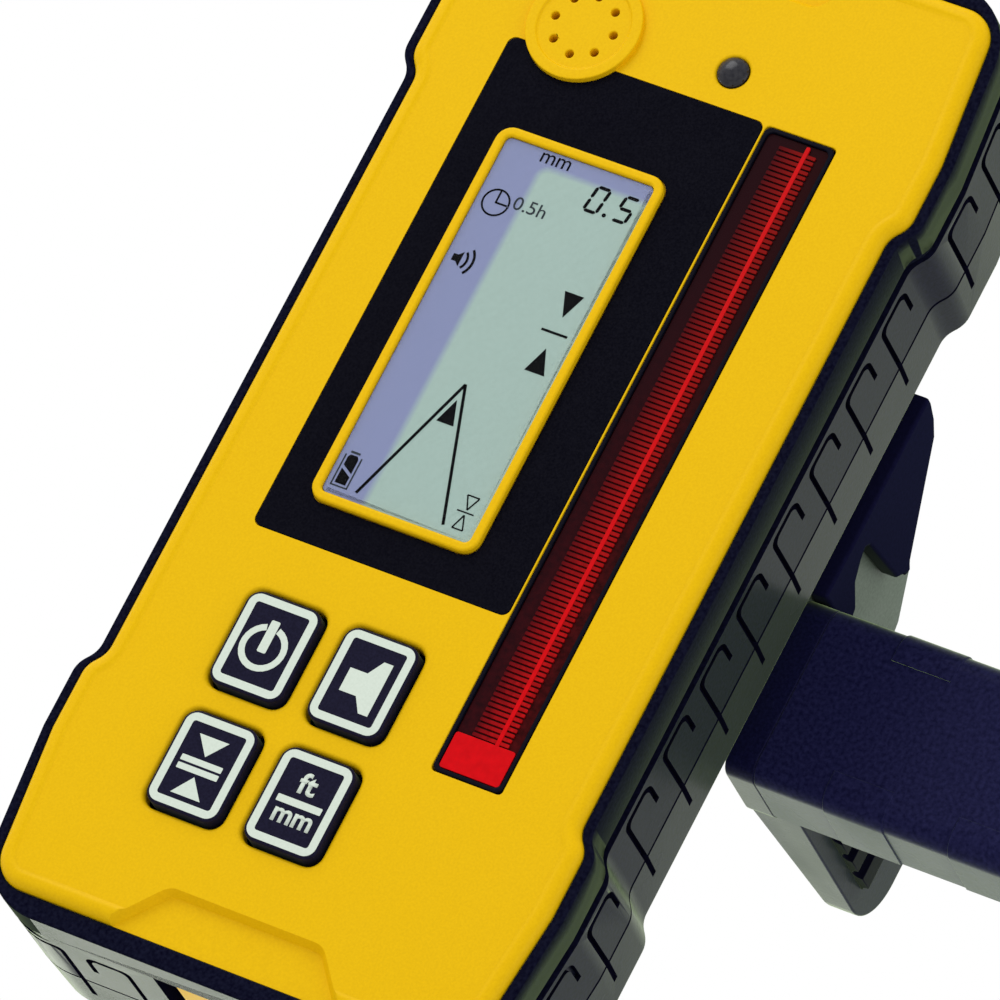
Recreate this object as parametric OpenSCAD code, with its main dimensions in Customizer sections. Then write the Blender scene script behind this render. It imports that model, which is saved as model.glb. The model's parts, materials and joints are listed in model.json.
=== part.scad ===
// Laser receiver for a levelling staff: a case in rubber armour with a red receiving window,
// and a staff clamp behind it.
// X runs to the right as seen from the front, Y from the front to the back, and Z up the case.
// The origin lies on the plane that the bumper's foot stands on, in the middle of the bumper's lip.

/* [Case] */
// Length of the front shell
case_l = 158; // [152:0.5:166]
// Width of the front shell at its waist
waist_w = 72; // [70:0.5:75]
// Width of the front shell at its wide ends
end_w = 76; // [75.5:0.5:80]
// Width of the front shell at its tips, before their corners are rounded
tip_w = 71.4; // [68:0.2:75]
// Length of each wide end, from its tip to the waist
end_run = 34; // [31:0.5:36]
// Length of the stretch that tapers to each tip
flare_run = 22; // [16:0.5:25]
// Length of the step between the waist and a wide end
step_run = 2.5; // [1.5:0.5:3.5]
// Radius of the corners at the tips
tip_r = 5; // [4:0.5:8]
// Thickness of the front plate
face_t = 2.5; // [2.2:0.1:3]
// Thickness of the side walls
wall_t = 2; // [1.6:0.1:2.2]
// How far the side walls stand inside the edge of the front plate
wall_inset = 1.5; // [1.2:0.1:1.8]
// Thickness of the back plate
back_t = 2.2; // [2:0.1:3]
// Depth of the joint between the shells, behind the face
joint_depth = 19.5; // [18:0.5:21]
// Thickness of the gasket between the shells
gasket_t = 0.8; // [0.6:0.1:1.2]
// Space between the front plate and the main board
board_gap = 6.6; // [6.4:0.1:8]
// Thickness of the main board
board_t = 1.6; // [1:0.1:2]

/* [Bumper] */
// How far the bumper stands out past the front plate at the sides
rubber_side = 1.5; // [1.2:0.1:2.5]
// How far the bumper stands out past the front plate at the ends
rubber_end = 3; // [2.8:0.1:4]
// How much larger the bumper's corner radius is than that of the front plate
corner_extra = 5; // [2:0.5:6]
// How far the front of the bumper's lip lies behind the face
lip_setback = 1; // [0.6:0.1:1.6]
// Depth of the plain lip of the bumper, behind the front plate
lip_run = 4.2; // [3:0.1:5]
// Width of the groove behind the lip
lip_groove = 1.8; // [1:0.1:2]
// Depth of the cut of every groove
groove_cut = 0.8; // [0.4:0.1:1]
// Gap between the front and the rear bumper
bumper_gap = 0.5; // [0.3:0.1:0.8]
// How far the rear bumper ends before the back plate
rear_setback = 1.2; // [0.8:0.1:3]
// How far each side of the rear bumper leans in
rear_lean = 0.7; // [0.4:0.1:1]
// Width of a grip pad, as a share of the distance between pads
pad_w_share = 0.63; // [0.5:0.01:0.7]
// Width of the groove round a pad
groove_w = 0.9; // [0.6:0.1:1.2]

/* [Display] */
// Width of the black panel, as a share of the waist
panel_w_share = 0.536; // [0.51:0.002:0.55]
// Height of the black panel, as a share of the case's length
panel_h_share = 0.481; // [0.46:0.005:0.49]
// Thickness of the black panel
panel_t = 0.5; // [0.3:0.1:0.8]
// Width of the display opening, as a share of the waist
lcd_w_share = 0.316; // [0.29:0.002:0.33]
// Height of the display opening, as a share of the case's length
lcd_h_share = 0.348; // [0.32:0.001:0.36]
// Width of the raised rim round the display
bezel_w = 1.4; // [1:0.1:2]
// How far the rim and the sound boss stand out of the face
bezel_rise = 0.9; // [0.4:0.1:1.4]
// Width of the receiving window, as a share of the waist
window_w_share = 0.146; // [0.13:0.002:0.16]
// Height of the receiving window, as a share of the case's length
window_h_share = 0.623; // [0.58:0.005:0.65]
// Width of the strip of the face between the panel and the window
strip_w = 0.8; // [0.6:0.1:1.6]
// Radius of the sound boss
sound_r = 8.1; // [7:0.1:9]
// Radius of the ring of sound holes
sound_ring_r = 4.45; // [3.5:0.05:5]
// Radius of the status dome
dome_r = 2.2; // [1.8:0.1:2.6]

/* [Keys] */
// Width of a key, as a share of the waist
key_w_share = 0.1695; // [0.15:0.0005:0.18]
// Height of a key, as a share of the case's length
key_h_share = 0.095; // [0.085:0.0005:0.1]
// Width of the rib between two keys in a row
key_rib_x = 2.7; // [2.6:0.1:4]
// Width of the rib between the rows of keys
key_rib_v = 3.1; // [2.6:0.1:4]
// Travel of a key
key_travel = 0.7; // [0.4:0.1:0.8]

/* [Battery] */
// Length of a cell
cell_l = 50.5; // [49:0.5:51]
// Diameter of a cell
cell_d = 14.3; // [13.5:0.1:14.5]
// Wall of the battery tube
tube_wall = 1.2; // [1:0.1:1.6]
// Width of the battery door
door_w = 16.8; // [16:0.2:19]
// Radius of the hinge pin of the door
door_pin_r = 0.8; // [0.6:0.1:1]

/* [Clamp] */
// Height of the clamp's beam
beam_h = 26.5; // [24:0.5:28]
// Depth of the clamp's beam
beam_d = 16; // [15:0.5:18]
// Thickness of the rubber grip on the beam
grip_t = 1.2; // [0.8:0.1:1.6]
// Reach of the jaws behind the beam
jaw_reach = 35; // [30:0.5:40]
// Thickness of a jaw at its root
jaw_t = 8; // [7:0.5:9]
// Thickness of a jaw at its tip
jaw_tip_t = 4; // [3:0.5:5]
// Width between the jaw pads as shown
throat_w = 34; // [32:0.5:36]
// Thickness of a jaw pad
jaw_pad_t = 1.5; // [1:0.1:2]
// Width between the jaw pads when the clamp is closed
closed_w = 4; // [3:0.5:8]
// How far the moving jaw opens from where it is shown
jaw_open = 12; // [8:0.5:12]
// Radius of the lead screw
screw_r = 3; // [2.5:0.1:3]
// Radius of the clamp's knob
knob_r = 12.5; // [11:0.5:15]
// Length of the clamp's knob
knob_l = 15.5; // [14:0.5:20]

/* [Hidden] */
$fn = 48;

// Overrun of a cut past the face that it opens
over = 1;
// Clearance of a fixed fit, of a running fit and between parts that move past each other
fit_gap = 0.05;
run_gap = 0.06;
move_gap = 0.35;

// Number of facets that round a corner at a tip, and a corner of the step to the waist
tip_steps = 12;
step_steps = 5;
// Share of the step's slope that each of its two rounded corners takes
step_share = 0.4;
step_slope = [(end_w - waist_w) / 2, step_run];
step_turn = atan2(step_slope[0], step_slope[1]);
step_r = step_share * norm(step_slope) / tan(step_turn / 2);

// Places along Y, from the front to the back
face_y = -face_t - lip_run / 2;
flange_y = face_y + face_t;
board_y = flange_y + board_gap;
tube_gap = 0.6;
tube_bore_gap = 0.35;
tube_bore_r = cell_d / 2 + tube_bore_gap;
tube_r = tube_bore_r + tube_wall;
tube_y = board_y + board_t + tube_gap + tube_r;
back_gap = 0.1;
back_inner_y = tube_y + tube_r + back_gap;
back_y = back_inner_y + back_t;
joint_y = face_y + joint_depth;
cover_y = joint_y + gasket_t;
rear_bumper_y = joint_y + bumper_gap;
rear_bumper_end_y = back_y - rear_setback;

// Places along Z
mid_z = case_l / 2 + rubber_end;
wall_foot_z = rubber_end + wall_inset;

// Corners of the bumper at the tips
bumper_tip_r = tip_r + corner_extra;

// Black panel, display and window, in the plane of the face
panel_w = panel_w_share * waist_w;
panel_h = panel_h_share * case_l;
panel_x = -0.0917 * waist_w;
panel_v = 0.1032 * case_l;
panel_r = 1.2;
panel_gap = 0.1;
lcd_w = lcd_w_share * waist_w;
lcd_h = lcd_h_share * case_l;
lcd_x = -0.108 * waist_w;
lcd_v = 0.0832 * case_l;
lcd_r = 0.9;
lens_t = 0.4;
lens_sink = 0.2;
backlight_rise = 0.1;
glass_t = face_t + bezel_rise - lens_sink - lens_t - backlight_rise;
lens_y = face_y - bezel_rise + lens_sink;
glass_y = lens_y + lens_t;
backlight_y = glass_y + glass_t;
backlight_margin = 1.2;
window_w = window_w_share * waist_w;
window_h = window_h_share * case_l;
window_x = panel_x + panel_w / 2 + strip_w + window_w / 2;
window_v = 0.0304 * case_l;
window_r = 1;
frame_w = 0.6;
frame_rise = 0.1;
frame_lip = 0.8;
frame_lip_t = 0.9;

// Sensor board behind the window
diode_count = 14;
diode_size = [5, 5, 1.4];
diode_gap = 0.4;
sensor_t = 1;
sensor_y = flange_y + frame_lip_t + diode_gap + diode_size[2];
header_size = [7, 4];

// Sound boss, status dome and end recesses
sound_x = -0.232 * waist_w;
sound_v = 0.3715 * case_l;
sound_hole_r = 0.6;
sound_hole_count = 8;
sound_rim_w = 1.3;
sound_dish = 0.3;
buzzer_r = 6.4;
buzzer_t = 4;
dome_x = 0.0764 * waist_w;
dome_v = 0.3766 * case_l;
dome_rise = 0.9;
dome_flange_w = 0.9;
dome_flange_t = 1;
dome_leg_r = 1.6;
recess_h = 7.3;
recess_top_w = 0.325 * waist_w;
recess_foot_w = 0.528 * waist_w;
recess_depth = 1.2;

// Keys
key_w = key_w_share * waist_w;
key_h = key_h_share * case_l;
keys_x = -0.1125 * waist_w;
keys_v = -0.2908 * case_l;
key_r = 2.2;
key_rise = 0.4;
key_gap = 0.35;
key_flange_w = 0.8;
key_flange_t = 0.8;
key_stem_r = 2.5;
key_pitch_x = key_w + key_rib_x;
key_pitch_v = key_h + key_rib_v;
switch_r = 3;
switch_t = 0.9;

// Screw bosses of the case and posts of the board
boss_side_inset = 7.7;
boss_end_inset = 10.5;
boss_x = tip_w / 2 - boss_side_inset;
boss_v = case_l / 2 - boss_end_inset;
boss_r = 3.6;
case_screw_r = 1.45;
case_screw_l = 14;
case_head_r = 2.75;
case_head_t = 2.2;
head_sink = 0.2;
board_side_gap = 1.5;
board_end_gap = 16;
board_w = waist_w - 2 * (wall_inset + wall_t + board_side_gap);
board_h = case_l - 2 * board_end_gap;
post_inset = 2.6;
post_x = board_w / 2 - post_inset;
post_v = 0.19 * case_l;
post_r = 2.2;
board_r = 2;
board_screw_r = 0.85;
board_screw_l = 5;
board_head_r = 1.9;
board_head_t = 1.2;

// Battery tube, cells and door
cell_nub_r = 2.75;
cell_nub_h = 1.3;
cell_gap = 0.3;
spring_r = 3.2;
spring_h = 3.7;
contact_r = 4;
contact_h = 3.2;
tube_end_t = 2;
door_sink = 0.5;
door_gap = 0.3;
door_lip = 4.3;
door_r = 2;
door_pin_inset = 4.2;
lug_t = 2;
knuckle_relief = 0.1;
rib_t = 2;
rib_reach = 2.4;
rib_shares = [0.17, 0.6];
door_front_y = tube_y - tube_r - door_lip;
door_pin_y = back_y - door_pin_inset;
door_top_z = wall_foot_z - door_gap;
door_pin_z = (door_sink + door_top_z) / 2;
knuckle_r = (door_top_z - door_sink) / 2 - knuckle_relief;
notch_w = door_w + 2 * (door_gap + lug_t + door_gap);
cell_lower_z = door_top_z + spring_h + cell_gap;
cell_upper_z = cell_lower_z + cell_l + cell_gap;
contact_z = cell_upper_z + cell_l + cell_gap;
tube_end_z = contact_z + contact_h;

// Bumper pads: where the leg of each groove lies, as shares of the case's half length
waist_pad_count = 8;
waist_pad_spare = 0.38;
pad_pitch = (case_l - 2 * end_run) / (waist_pad_count + waist_pad_spare);
pad_w = pad_w_share * pad_pitch;
waist_pad_v = end_run + pad_pitch / 2 - case_l / 2;
end_pad_shares = [0.65, 0.79];
foot_pad_shares = [0.448, 0.734];
pad_r = 2;
pad_depth = 9.3;
pad_leg = 15.8;
pad_return = 3.2;

// Clamp bracket on the back
beam_inset = 3;
beam_x = waist_w / 2 - beam_inset;
bracket_inset = 9;
bracket_w = beam_x + waist_w / 2 - bracket_inset;
bracket_t = 5;
bracket_top_v = 38.5;
foot_setback = 5.5;
beam_v = -5.8;
bracket_foot_v = beam_v - beam_h / 2 + foot_setback;
fin_foot_v = beam_v + beam_h / 2;
bracket_r = 6;
web_t = 5.5;
fin_t = 4;
fin_d = 31.5;
fin_shares = [
  [0, 0], [0, 1], [0.14, 1], [0.25, 0.93], [0.6, 0.72], [0.85, 0.53], [1, 0.34], [1.1, 0]
];
cover_shares = [[0, 0], [0, 1], [0.05, 1], [0.15, 0.975], [0.24, 0.93], [0.79, 0.27], [1, 0]];
cover_t = 3;
notch_shares = [
  [0.16, 0.34], [0.57, 0.38], [0.64, 0.44], [1.1, 0.2],
  [1.1, -0.1], [0.4, -0.1], [0.33, 0.11], [0.2, 0.18], [0.15, 0.26], [0.13, 0.31]
];
insert_x = 0.278 * waist_w;
insert_v = 10;
insert_r = 3;
insert_l = 6;
insert_boss_r = 4.5;
insert_boss_l = 7;
bracket_screw_r = 1.95;
bracket_screw_l = 9;
bracket_head_r = 3.5;
bracket_head_t = 2.8;

// Beam, jaws and lead screw
beam_r = 3;
beam_setback = 1;
beam_y = back_y + bracket_t + beam_setback;
beam_back_y = beam_y + beam_d;
channel_h = 10;
channel_front_t = 3.5;
channel_d = beam_d - channel_front_t;
channel_spare = 2.5;
end_wall_t = 5;
screw_y = beam_back_y - channel_d / 2;
journal_r = 2;
journal_l = 4.5;
beam_screw_r = 1.45;
beam_screw_l = 12;
beam_head_r = 2.75;
beam_head_t = 2;
beam_screw_edge = 4;
beam_screw_v = [bracket_foot_v + beam_screw_edge, fin_foot_v - beam_screw_edge];
grip_start = 4.5;
grip_pad_count = 3;
grip_pad_x = 15;
grip_pad_w = 9;
grip_pad_pitch = 18.8;
grip_pad_h = 5;
grip_pad_rise = 0.2;
jaw_setback = 1;
jaw_h = beam_h - jaw_setback;
jaw_corner_r = 8;
jaw_gap = 0.4;
neck_w = 10;
pad_margin = 3;
pad_tip_margin = 9;
tooth_count = 4;
tooth_cut = 1.2;
collar_t = 2;
collar_side_gap = 0.4;
collar_r = channel_h / 2 - collar_side_gap;
collar_gap = 0.2;
knob_gap = 0.4;
knob_hub_share = 0.62;
knob_round = 1.5;
flute_count = 9;
flute_r = 3.4;
flute_cut = 1.3;
knob_pin_r = 1;
fixed_face_x = beam_x + jaw_t + jaw_pad_t;
moving_face_x = fixed_face_x + throat_w;
moving_root_x = moving_face_x + jaw_pad_t;
jaw_tip_y = beam_back_y + jaw_reach;
jaw_close = throat_w - closed_w;
channel_x = moving_root_x - jaw_close - channel_spare;
channel_end_x = moving_root_x + neck_w + jaw_open + move_gap + collar_t + collar_gap;
beam_end_x = channel_end_x + end_wall_t;

// Extrudes an outline of the face (x, height over the case's middle) from one depth to another
module along_y(from, to) {
  translate([0, to, mid_z]) rotate([90, 0, 0]) linear_extrude(to - from) children();
}

// Extrudes a side outline (depth, height over the case's middle) from one x to another
module along_x(from, to) {
  translate([from, 0, mid_z]) rotate([90, 0, 90]) linear_extrude(to - from) children();
}

// Extrudes a plan outline (x, depth) from one height to another
module along_z(from, to) {
  translate([0, 0, from]) linear_extrude(to - from) children();
}

// Rod along X at a depth and a height over the case's middle
module rod_x(from, to, y, v, r) {
  along_x(from, to) translate([y, v]) circle(r);
}

// Rectangle about its middle with rounded corners
module rounded_rect(w, h, r) {
  square([w - 2 * r, h], center = true);
  square([w, h - 2 * r], center = true);
  for (x = [-1, 1], y = [-1, 1]) {
    translate([x * (w / 2 - r), y * (h / 2 - r)]) circle(r);
  }
}

// One quarter of the case's outline, grown by a side and an end amount, from the tip down to the waist
function lean_of(end) = atan2(end_w - tip_w, 2 * (flare_run + end));
function tip_centre(side, end, r) = [
  tip_w / 2 + side + r * tan(lean_of(end)) - r / cos(lean_of(end)),
  case_l / 2 + end - r
];
function tip_arc(side, end, r) = [
  for (i = [0 : tip_steps])
    let (turn = (90 - lean_of(end)) * i / tip_steps)
    tip_centre(side, end, r) + r * [sin(turn), cos(turn)]
];
function outer_arc(x, v) = [
  for (i = [0 : step_steps])
    let (turn = step_turn * i / step_steps, start_v = v + step_r * tan(step_turn / 2))
    [x - step_r + step_r * cos(turn), start_v - step_r * sin(turn)]
];
function inner_arc(x, v) = [
  for (i = [step_steps : -1 : 0])
    let (turn = step_turn * i / step_steps, end_v = v - step_r * tan(step_turn / 2))
    [x + step_r - step_r * cos(turn), end_v + step_r * sin(turn)]
];
function quarter(side, end, r) = concat(
  tip_arc(side, end, r),
  [[end_w / 2 + side, case_l / 2 - flare_run]],
  outer_arc(end_w / 2 + side, case_l / 2 - end_run + step_run),
  inner_arc(waist_w / 2 + side, case_l / 2 - end_run)
);
function flipped(points, x, v) = [for (p = points) [x * p[0], v * p[1]]];
function backwards(points) = [for (i = [len(points) - 1 : -1 : 0]) points[i]];

module case_outline(side, end, corner_r) {
  corner = quarter(side, end, corner_r);
  right = concat(corner, backwards(flipped(corner, 1, -1)));
  polygon(concat(right, backwards(flipped(right, -1, 1))));
}

// Outline of the front plate, grown by the same amount all round
module plate_outline(grow) {
  case_outline(grow, grow, tip_r + grow);
}

module wall_outline() {
  plate_outline(-wall_inset);
}

module inner_outline() {
  plate_outline(-wall_inset - wall_t);
}

// Outline of the bumper, grown by the same amount all round
module bumper_outline(grow) {
  case_outline(rubber_side + grow, rubber_end + grow, bumper_tip_r + grow);
}

// Floor of the groove behind the bumper's lip, which runs out at the ends
module lip_groove_outline() {
  case_outline(rubber_side - groove_cut, rubber_end, bumper_tip_r);
}

// Outlines of what shows on the face
module panel_outline(gap) {
  difference() {
    translate([panel_x, panel_v]) rounded_rect(panel_w - 2 * gap, panel_h - 2 * gap, panel_r);
    lcd_outline(bezel_w + gap);
    translate([sound_x, sound_v]) circle(sound_r + gap);
  }
}

module lcd_outline(grow) {
  translate([lcd_x, lcd_v]) rounded_rect(lcd_w + 2 * grow, lcd_h + 2 * grow, lcd_r + max(grow, 0));
}

module window_outline(grow) {
  translate([window_x, window_v]) rounded_rect(window_w + 2 * grow, window_h + 2 * grow, window_r);
}

module key_outline(column, row, grow) {
  translate([keys_x + column * key_pitch_x / 2, keys_v + row * key_pitch_v / 2])
    rounded_rect(key_w + 2 * grow, key_h + 2 * grow, key_r + grow);
}

// Shallow recess in the face at each tip, with sloping ends
module end_recess() {
  tip = case_l / 2;
  polygon([
    [-recess_top_w / 2, tip - recess_h],
    [recess_top_w / 2, tip - recess_h],
    [recess_foot_w / 2, tip + over],
    [-recess_foot_w / 2, tip + over]
  ]);
}

module at_corners(x, v) {
  for (a = [-1, 1], b = [-1, 1]) {
    translate([a * x, b * v]) children();
  }
}

module at_sound_holes() {
  for (i = [0 : sound_hole_count - 1]) {
    translate([sound_x, sound_v]) rotate(i * 360 / sound_hole_count)
      translate([sound_ring_r, 0]) children();
  }
}

module battery_passage() {
  translate([0, tube_y, 0]) cylinder(h = wall_foot_z + wall_t + over, r = tube_r + fit_gap);
}

module front_shell() {
  color("gold") difference() {
    union() {
      along_y(face_y, flange_y) plate_outline(0);
      along_y(flange_y, joint_y) difference() {
        wall_outline();
        inner_outline();
      }
      along_y(face_y - bezel_rise, face_y) lcd_outline(bezel_w);
      along_y(face_y - bezel_rise, face_y) translate([sound_x, sound_v]) circle(sound_r);
      along_y(flange_y, cover_y) at_corners(boss_x, boss_v) circle(boss_r);
      along_y(flange_y, board_y) at_corners(post_x, post_v) circle(post_r);
    }
    along_y(face_y - over, face_y + panel_t) panel_outline(0);
    along_y(face_y - bezel_rise - over, flange_y + over) lcd_outline(0);
    along_y(face_y - over, flange_y + over) window_outline(0);
    for (column = [-1, 1], row = [-1, 1]) {
      along_y(face_y - over, flange_y + over) key_outline(column, row, key_gap);
    }
    along_y(face_y - bezel_rise - over, face_y - bezel_rise + sound_dish)
      translate([sound_x, sound_v]) circle(sound_r - sound_rim_w);
    along_y(face_y - bezel_rise - over, flange_y + over) at_sound_holes() circle(sound_hole_r);
    along_y(face_y - over, flange_y + over) translate([dome_x, dome_v]) circle(dome_r + fit_gap);
    for (end = [0, 1]) {
      along_y(face_y - over, face_y + recess_depth) mirror([0, end]) end_recess();
    }
    along_y(flange_y, cover_y + over) at_corners(boss_x, boss_v) circle(case_screw_r + fit_gap);
    along_y(flange_y, board_y + over) at_corners(post_x, post_v) circle(board_screw_r + fit_gap);
    battery_passage();
  }
}

// Lug on the back shell that carries one end of the door's hinge pin
module door_lug() {
  lug_d = 2 * (back_y - door_pin_y) - 2 * fit_gap;
  difference() {
    translate([door_w / 2 + door_gap, door_pin_y - lug_d / 2, door_sink])
      cube([lug_t, lug_d, wall_foot_z + wall_t / 2 - door_sink]);
    translate([0, door_pin_y, door_pin_z]) rotate([0, 90, 0])
      cylinder(h = door_w, r = door_pin_r + fit_gap);
  }
}

module rear_cover() {
  color("dimgray") difference() {
    union() {
      difference() {
        along_y(cover_y, back_y) wall_outline();
        along_y(cover_y - over, back_inner_y) inner_outline();
      }
      along_y(cover_y, back_inner_y) at_corners(boss_x, boss_v) circle(boss_r);
      for (x = [-insert_x, insert_x]) {
        along_y(back_inner_y - insert_boss_l, back_inner_y) translate([x, insert_v]) circle(insert_boss_r);
      }
      for (share = rib_shares) {
        translate([-tube_r - rib_reach, cover_y, wall_foot_z + share * (tube_end_z - wall_foot_z)])
          cube([2 * (tube_r + rib_reach), back_inner_y - cover_y, rib_t]);
      }
      for (side = [0, 1]) {
        mirror([side, 0, 0]) door_lug();
      }
    }
    translate([0, tube_y, 0]) cylinder(h = tube_end_z + tube_end_t, r = tube_r + fit_gap);
    along_y(cover_y - over, back_y + over) at_corners(boss_x, boss_v) circle(case_screw_r + fit_gap);
    along_y(back_y - case_head_t - head_sink, back_y + over)
      at_corners(boss_x, boss_v) circle(case_head_r + fit_gap);
    for (x = [-insert_x, insert_x]) {
      along_y(back_inner_y - insert_boss_l - over, back_y + over)
        translate([x, insert_v]) circle(bracket_screw_r + fit_gap);
      along_y(back_inner_y - insert_boss_l - over, back_inner_y - insert_boss_l + insert_l)
        translate([x, insert_v]) circle(insert_r + fit_gap);
    }
  }
}

module case_gasket() {
  color("black") difference() {
    along_y(joint_y, cover_y) wall_outline();
    along_y(joint_y - over, cover_y + over) inner_outline();
    battery_passage();
  }
}

// Opening in the foot of the bumper for the battery door
module door_notch() {
  translate([-notch_w / 2, door_front_y - door_gap, -over])
    cube([notch_w, back_y - door_front_y + over, wall_foot_z + 2 * over]);
}

// Groove round the front and one side of a pad, with its leg running on to the back
// (depth, place along the side)
module hook_groove() {
  translate([0, -groove_w / 2]) square([pad_leg, groove_w]);
  square([groove_w, pad_w - pad_r]);
  translate([pad_r, pad_w - pad_r]) intersection() {
    difference() {
      circle(pad_r);
      circle(pad_r - groove_w);
    }
    translate([-pad_r, 0]) square(pad_r);
  }
  translate([pad_r, pad_w - groove_w]) square([pad_return, groove_w]);
}

// Skin of the bumper, as deep as the grooves are cut
module groove_skin() {
  along_y(flange_y, back_y) difference() {
    bumper_outline(over);
    bumper_outline(-groove_cut);
  }
}

// All the pad grooves, as solids that reach the depth of the cut into the bumper
module pad_grooves() {
  side_x = waist_w / 2;
  reach = end_w / 2 + rubber_side + over;
  intersection() {
    for (side = [0, 1]) {
      mirror([side, 0, 0]) {
        for (i = [0 : waist_pad_count - 1]) {
          along_x(side_x, reach)
            translate([face_y + pad_depth, waist_pad_v + i * pad_pitch]) hook_groove();
        }
        for (share = end_pad_shares, end = [0, 1]) {
          place = share * case_l / 2;
          along_x(side_x, reach)
            translate([face_y + pad_depth, end == 0 ? place : -place - pad_w / 2]) hook_groove();
        }
        for (share = foot_pad_shares, end = [0, 1]) {
          from_z = end == 0 ? -over : 2 * mid_z - bumper_tip_r;
          along_z(from_z, from_z + bumper_tip_r + over)
            translate([share * tip_w / 2, face_y + pad_depth]) mirror([1, -1]) hook_groove();
        }
      }
    }
    groove_skin();
  }
}

module bumper_front() {
  groove_y = flange_y + lip_run;
  color("darkslategray") difference() {
    union() {
      along_y(face_y + lip_setback, flange_y) difference() {
        bumper_outline(0);
        plate_outline(fit_gap);
      }
      along_y(flange_y, groove_y) bumper_outline(0);
      along_y(groove_y, groove_y + lip_groove) lip_groove_outline();
      along_y(groove_y + lip_groove, joint_y) bumper_outline(0);
    }
    along_y(flange_y - over, joint_y + over) wall_outline();
    pad_grooves();
    door_notch();
  }
}

module bumper_rear() {
  lean_scale = (waist_w + 2 * rubber_side - 2 * rear_lean) / (waist_w + 2 * rubber_side);
  color("slategray") difference() {
    translate([0, rear_bumper_y, mid_z]) mirror([0, 1, 0]) rotate([90, 0, 0])
      linear_extrude(rear_bumper_end_y - rear_bumper_y, scale = [lean_scale, 1], slices = 1)
        bumper_outline(0);
    along_y(rear_bumper_y - over, rear_bumper_end_y + over) wall_outline();
    pad_grooves();
    door_notch();
  }
}

// Screw along Y with its head towards the back: the face under the head lies at seat_y
module screw_along_y(seat_y, head_r, head_t, shank_r, shank_l) {
  along_y(seat_y, seat_y + head_t) circle(head_r);
  along_y(seat_y - shank_l, seat_y) circle(shank_r);
}

module case_screws() {
  color("silver") for (x = [-boss_x, boss_x], v = [-boss_v, boss_v]) {
    translate([x, 0, v])
      screw_along_y(back_y - case_head_t - head_sink, case_head_r, case_head_t, case_screw_r, case_screw_l);
  }
}

module label_panel() {
  color("black") along_y(face_y, face_y + panel_t) panel_outline(panel_gap);
}

module lcd_lens() {
  color("lightblue") along_y(lens_y, glass_y) lcd_outline(-fit_gap);
}

module lcd_glass() {
  color("darkseagreen") along_y(glass_y, backlight_y) lcd_outline(-fit_gap);
}

module lcd_backlight() {
  color("white") union() {
    along_y(backlight_y, flange_y + fit_gap) lcd_outline(-fit_gap);
    along_y(flange_y + fit_gap, board_y) lcd_outline(backlight_margin);
  }
}

module window_frame() {
  color("black") difference() {
    union() {
      along_y(face_y - frame_rise, flange_y) window_outline(-fit_gap);
      along_y(flange_y, flange_y + frame_lip_t) window_outline(frame_lip);
    }
    along_y(face_y - frame_rise - over, flange_y) window_outline(-frame_w);
    along_y(flange_y - over, flange_y + frame_lip_t + over) window_outline(-frame_w - frame_lip);
  }
}

module window_lens() {
  color("red") along_y(face_y, flange_y) window_outline(-frame_w - fit_gap);
}

module photodiodes() {
  pitch = (window_h - 2 * frame_w - 2 * frame_lip) / diode_count;
  color("midnightblue") for (i = [0 : diode_count - 1]) {
    along_y(sensor_y - diode_size[2], sensor_y)
      translate([window_x, window_v + (i - (diode_count - 1) / 2) * pitch])
        square([diode_size[0], diode_size[1]], center = true);
  }
}

module sensor_board() {
  color("green") along_y(sensor_y, sensor_y + sensor_t) window_outline(-frame_w);
}

module board_headers() {
  place = window_h / 2 - header_size[1];
  color("black") for (v = [-place, place]) {
    along_y(sensor_y + sensor_t, board_y)
      translate([window_x, window_v + v]) square(header_size, center = true);
  }
}

module main_board() {
  color("green") along_y(board_y, board_y + board_t) difference() {
    rounded_rect(board_w, board_h, board_r);
    at_corners(post_x, post_v) circle(board_screw_r + fit_gap);
  }
}

module board_screws() {
  color("silver") for (x = [-post_x, post_x], v = [-post_v, post_v]) {
    translate([x, 0, v])
      screw_along_y(board_y + board_t, board_head_r, board_head_t, board_screw_r, board_screw_l);
  }
}

module switch_domes() {
  color("silver") for (column = [-1, 1], row = [-1, 1]) {
    along_y(board_y - switch_t, board_y)
      translate([keys_x + column * key_pitch_x / 2, keys_v + row * key_pitch_v / 2]) circle(switch_r);
  }
}

// One rubber key: cap, retaining flange behind the front plate, and stem over its switch
module key(column, row) {
  flange_front = flange_y + move_gap;
  stem_end = board_y - switch_t - move_gap - key_travel;
  color("black") union() {
    along_y(face_y - key_rise, flange_front) key_outline(column, row, 0);
    along_y(flange_front, flange_front + key_flange_t) key_outline(column, row, key_flange_w);
    along_y(flange_front + key_flange_t, stem_end)
      translate([keys_x + column * key_pitch_x / 2, keys_v + row * key_pitch_v / 2]) circle(key_stem_r);
  }
}

module key_power() {
  key(-1, 1);
}

module key_sound() {
  key(1, 1);
}

module key_accuracy() {
  key(-1, -1);
}

module key_units() {
  key(1, -1);
}

module buzzer() {
  color("dimgray") along_y(flange_y, flange_y + buzzer_t) translate([sound_x, sound_v]) circle(buzzer_r);
}

module status_dome() {
  cap_r = (dome_r * dome_r + dome_rise * dome_rise) / (2 * dome_rise);
  color("darkslategray") union() {
    along_y(face_y, flange_y) translate([dome_x, dome_v]) circle(dome_r);
    along_y(flange_y, flange_y + dome_flange_t) translate([dome_x, dome_v]) circle(dome_r + dome_flange_w);
    along_y(flange_y + dome_flange_t, board_y) translate([dome_x, dome_v]) circle(dome_leg_r);
    intersection() {
      translate([dome_x, face_y - dome_rise + cap_r, mid_z + dome_v]) sphere(cap_r);
      along_y(face_y - dome_rise, face_y) translate([dome_x, dome_v]) circle(dome_r);
    }
  }
}

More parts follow.
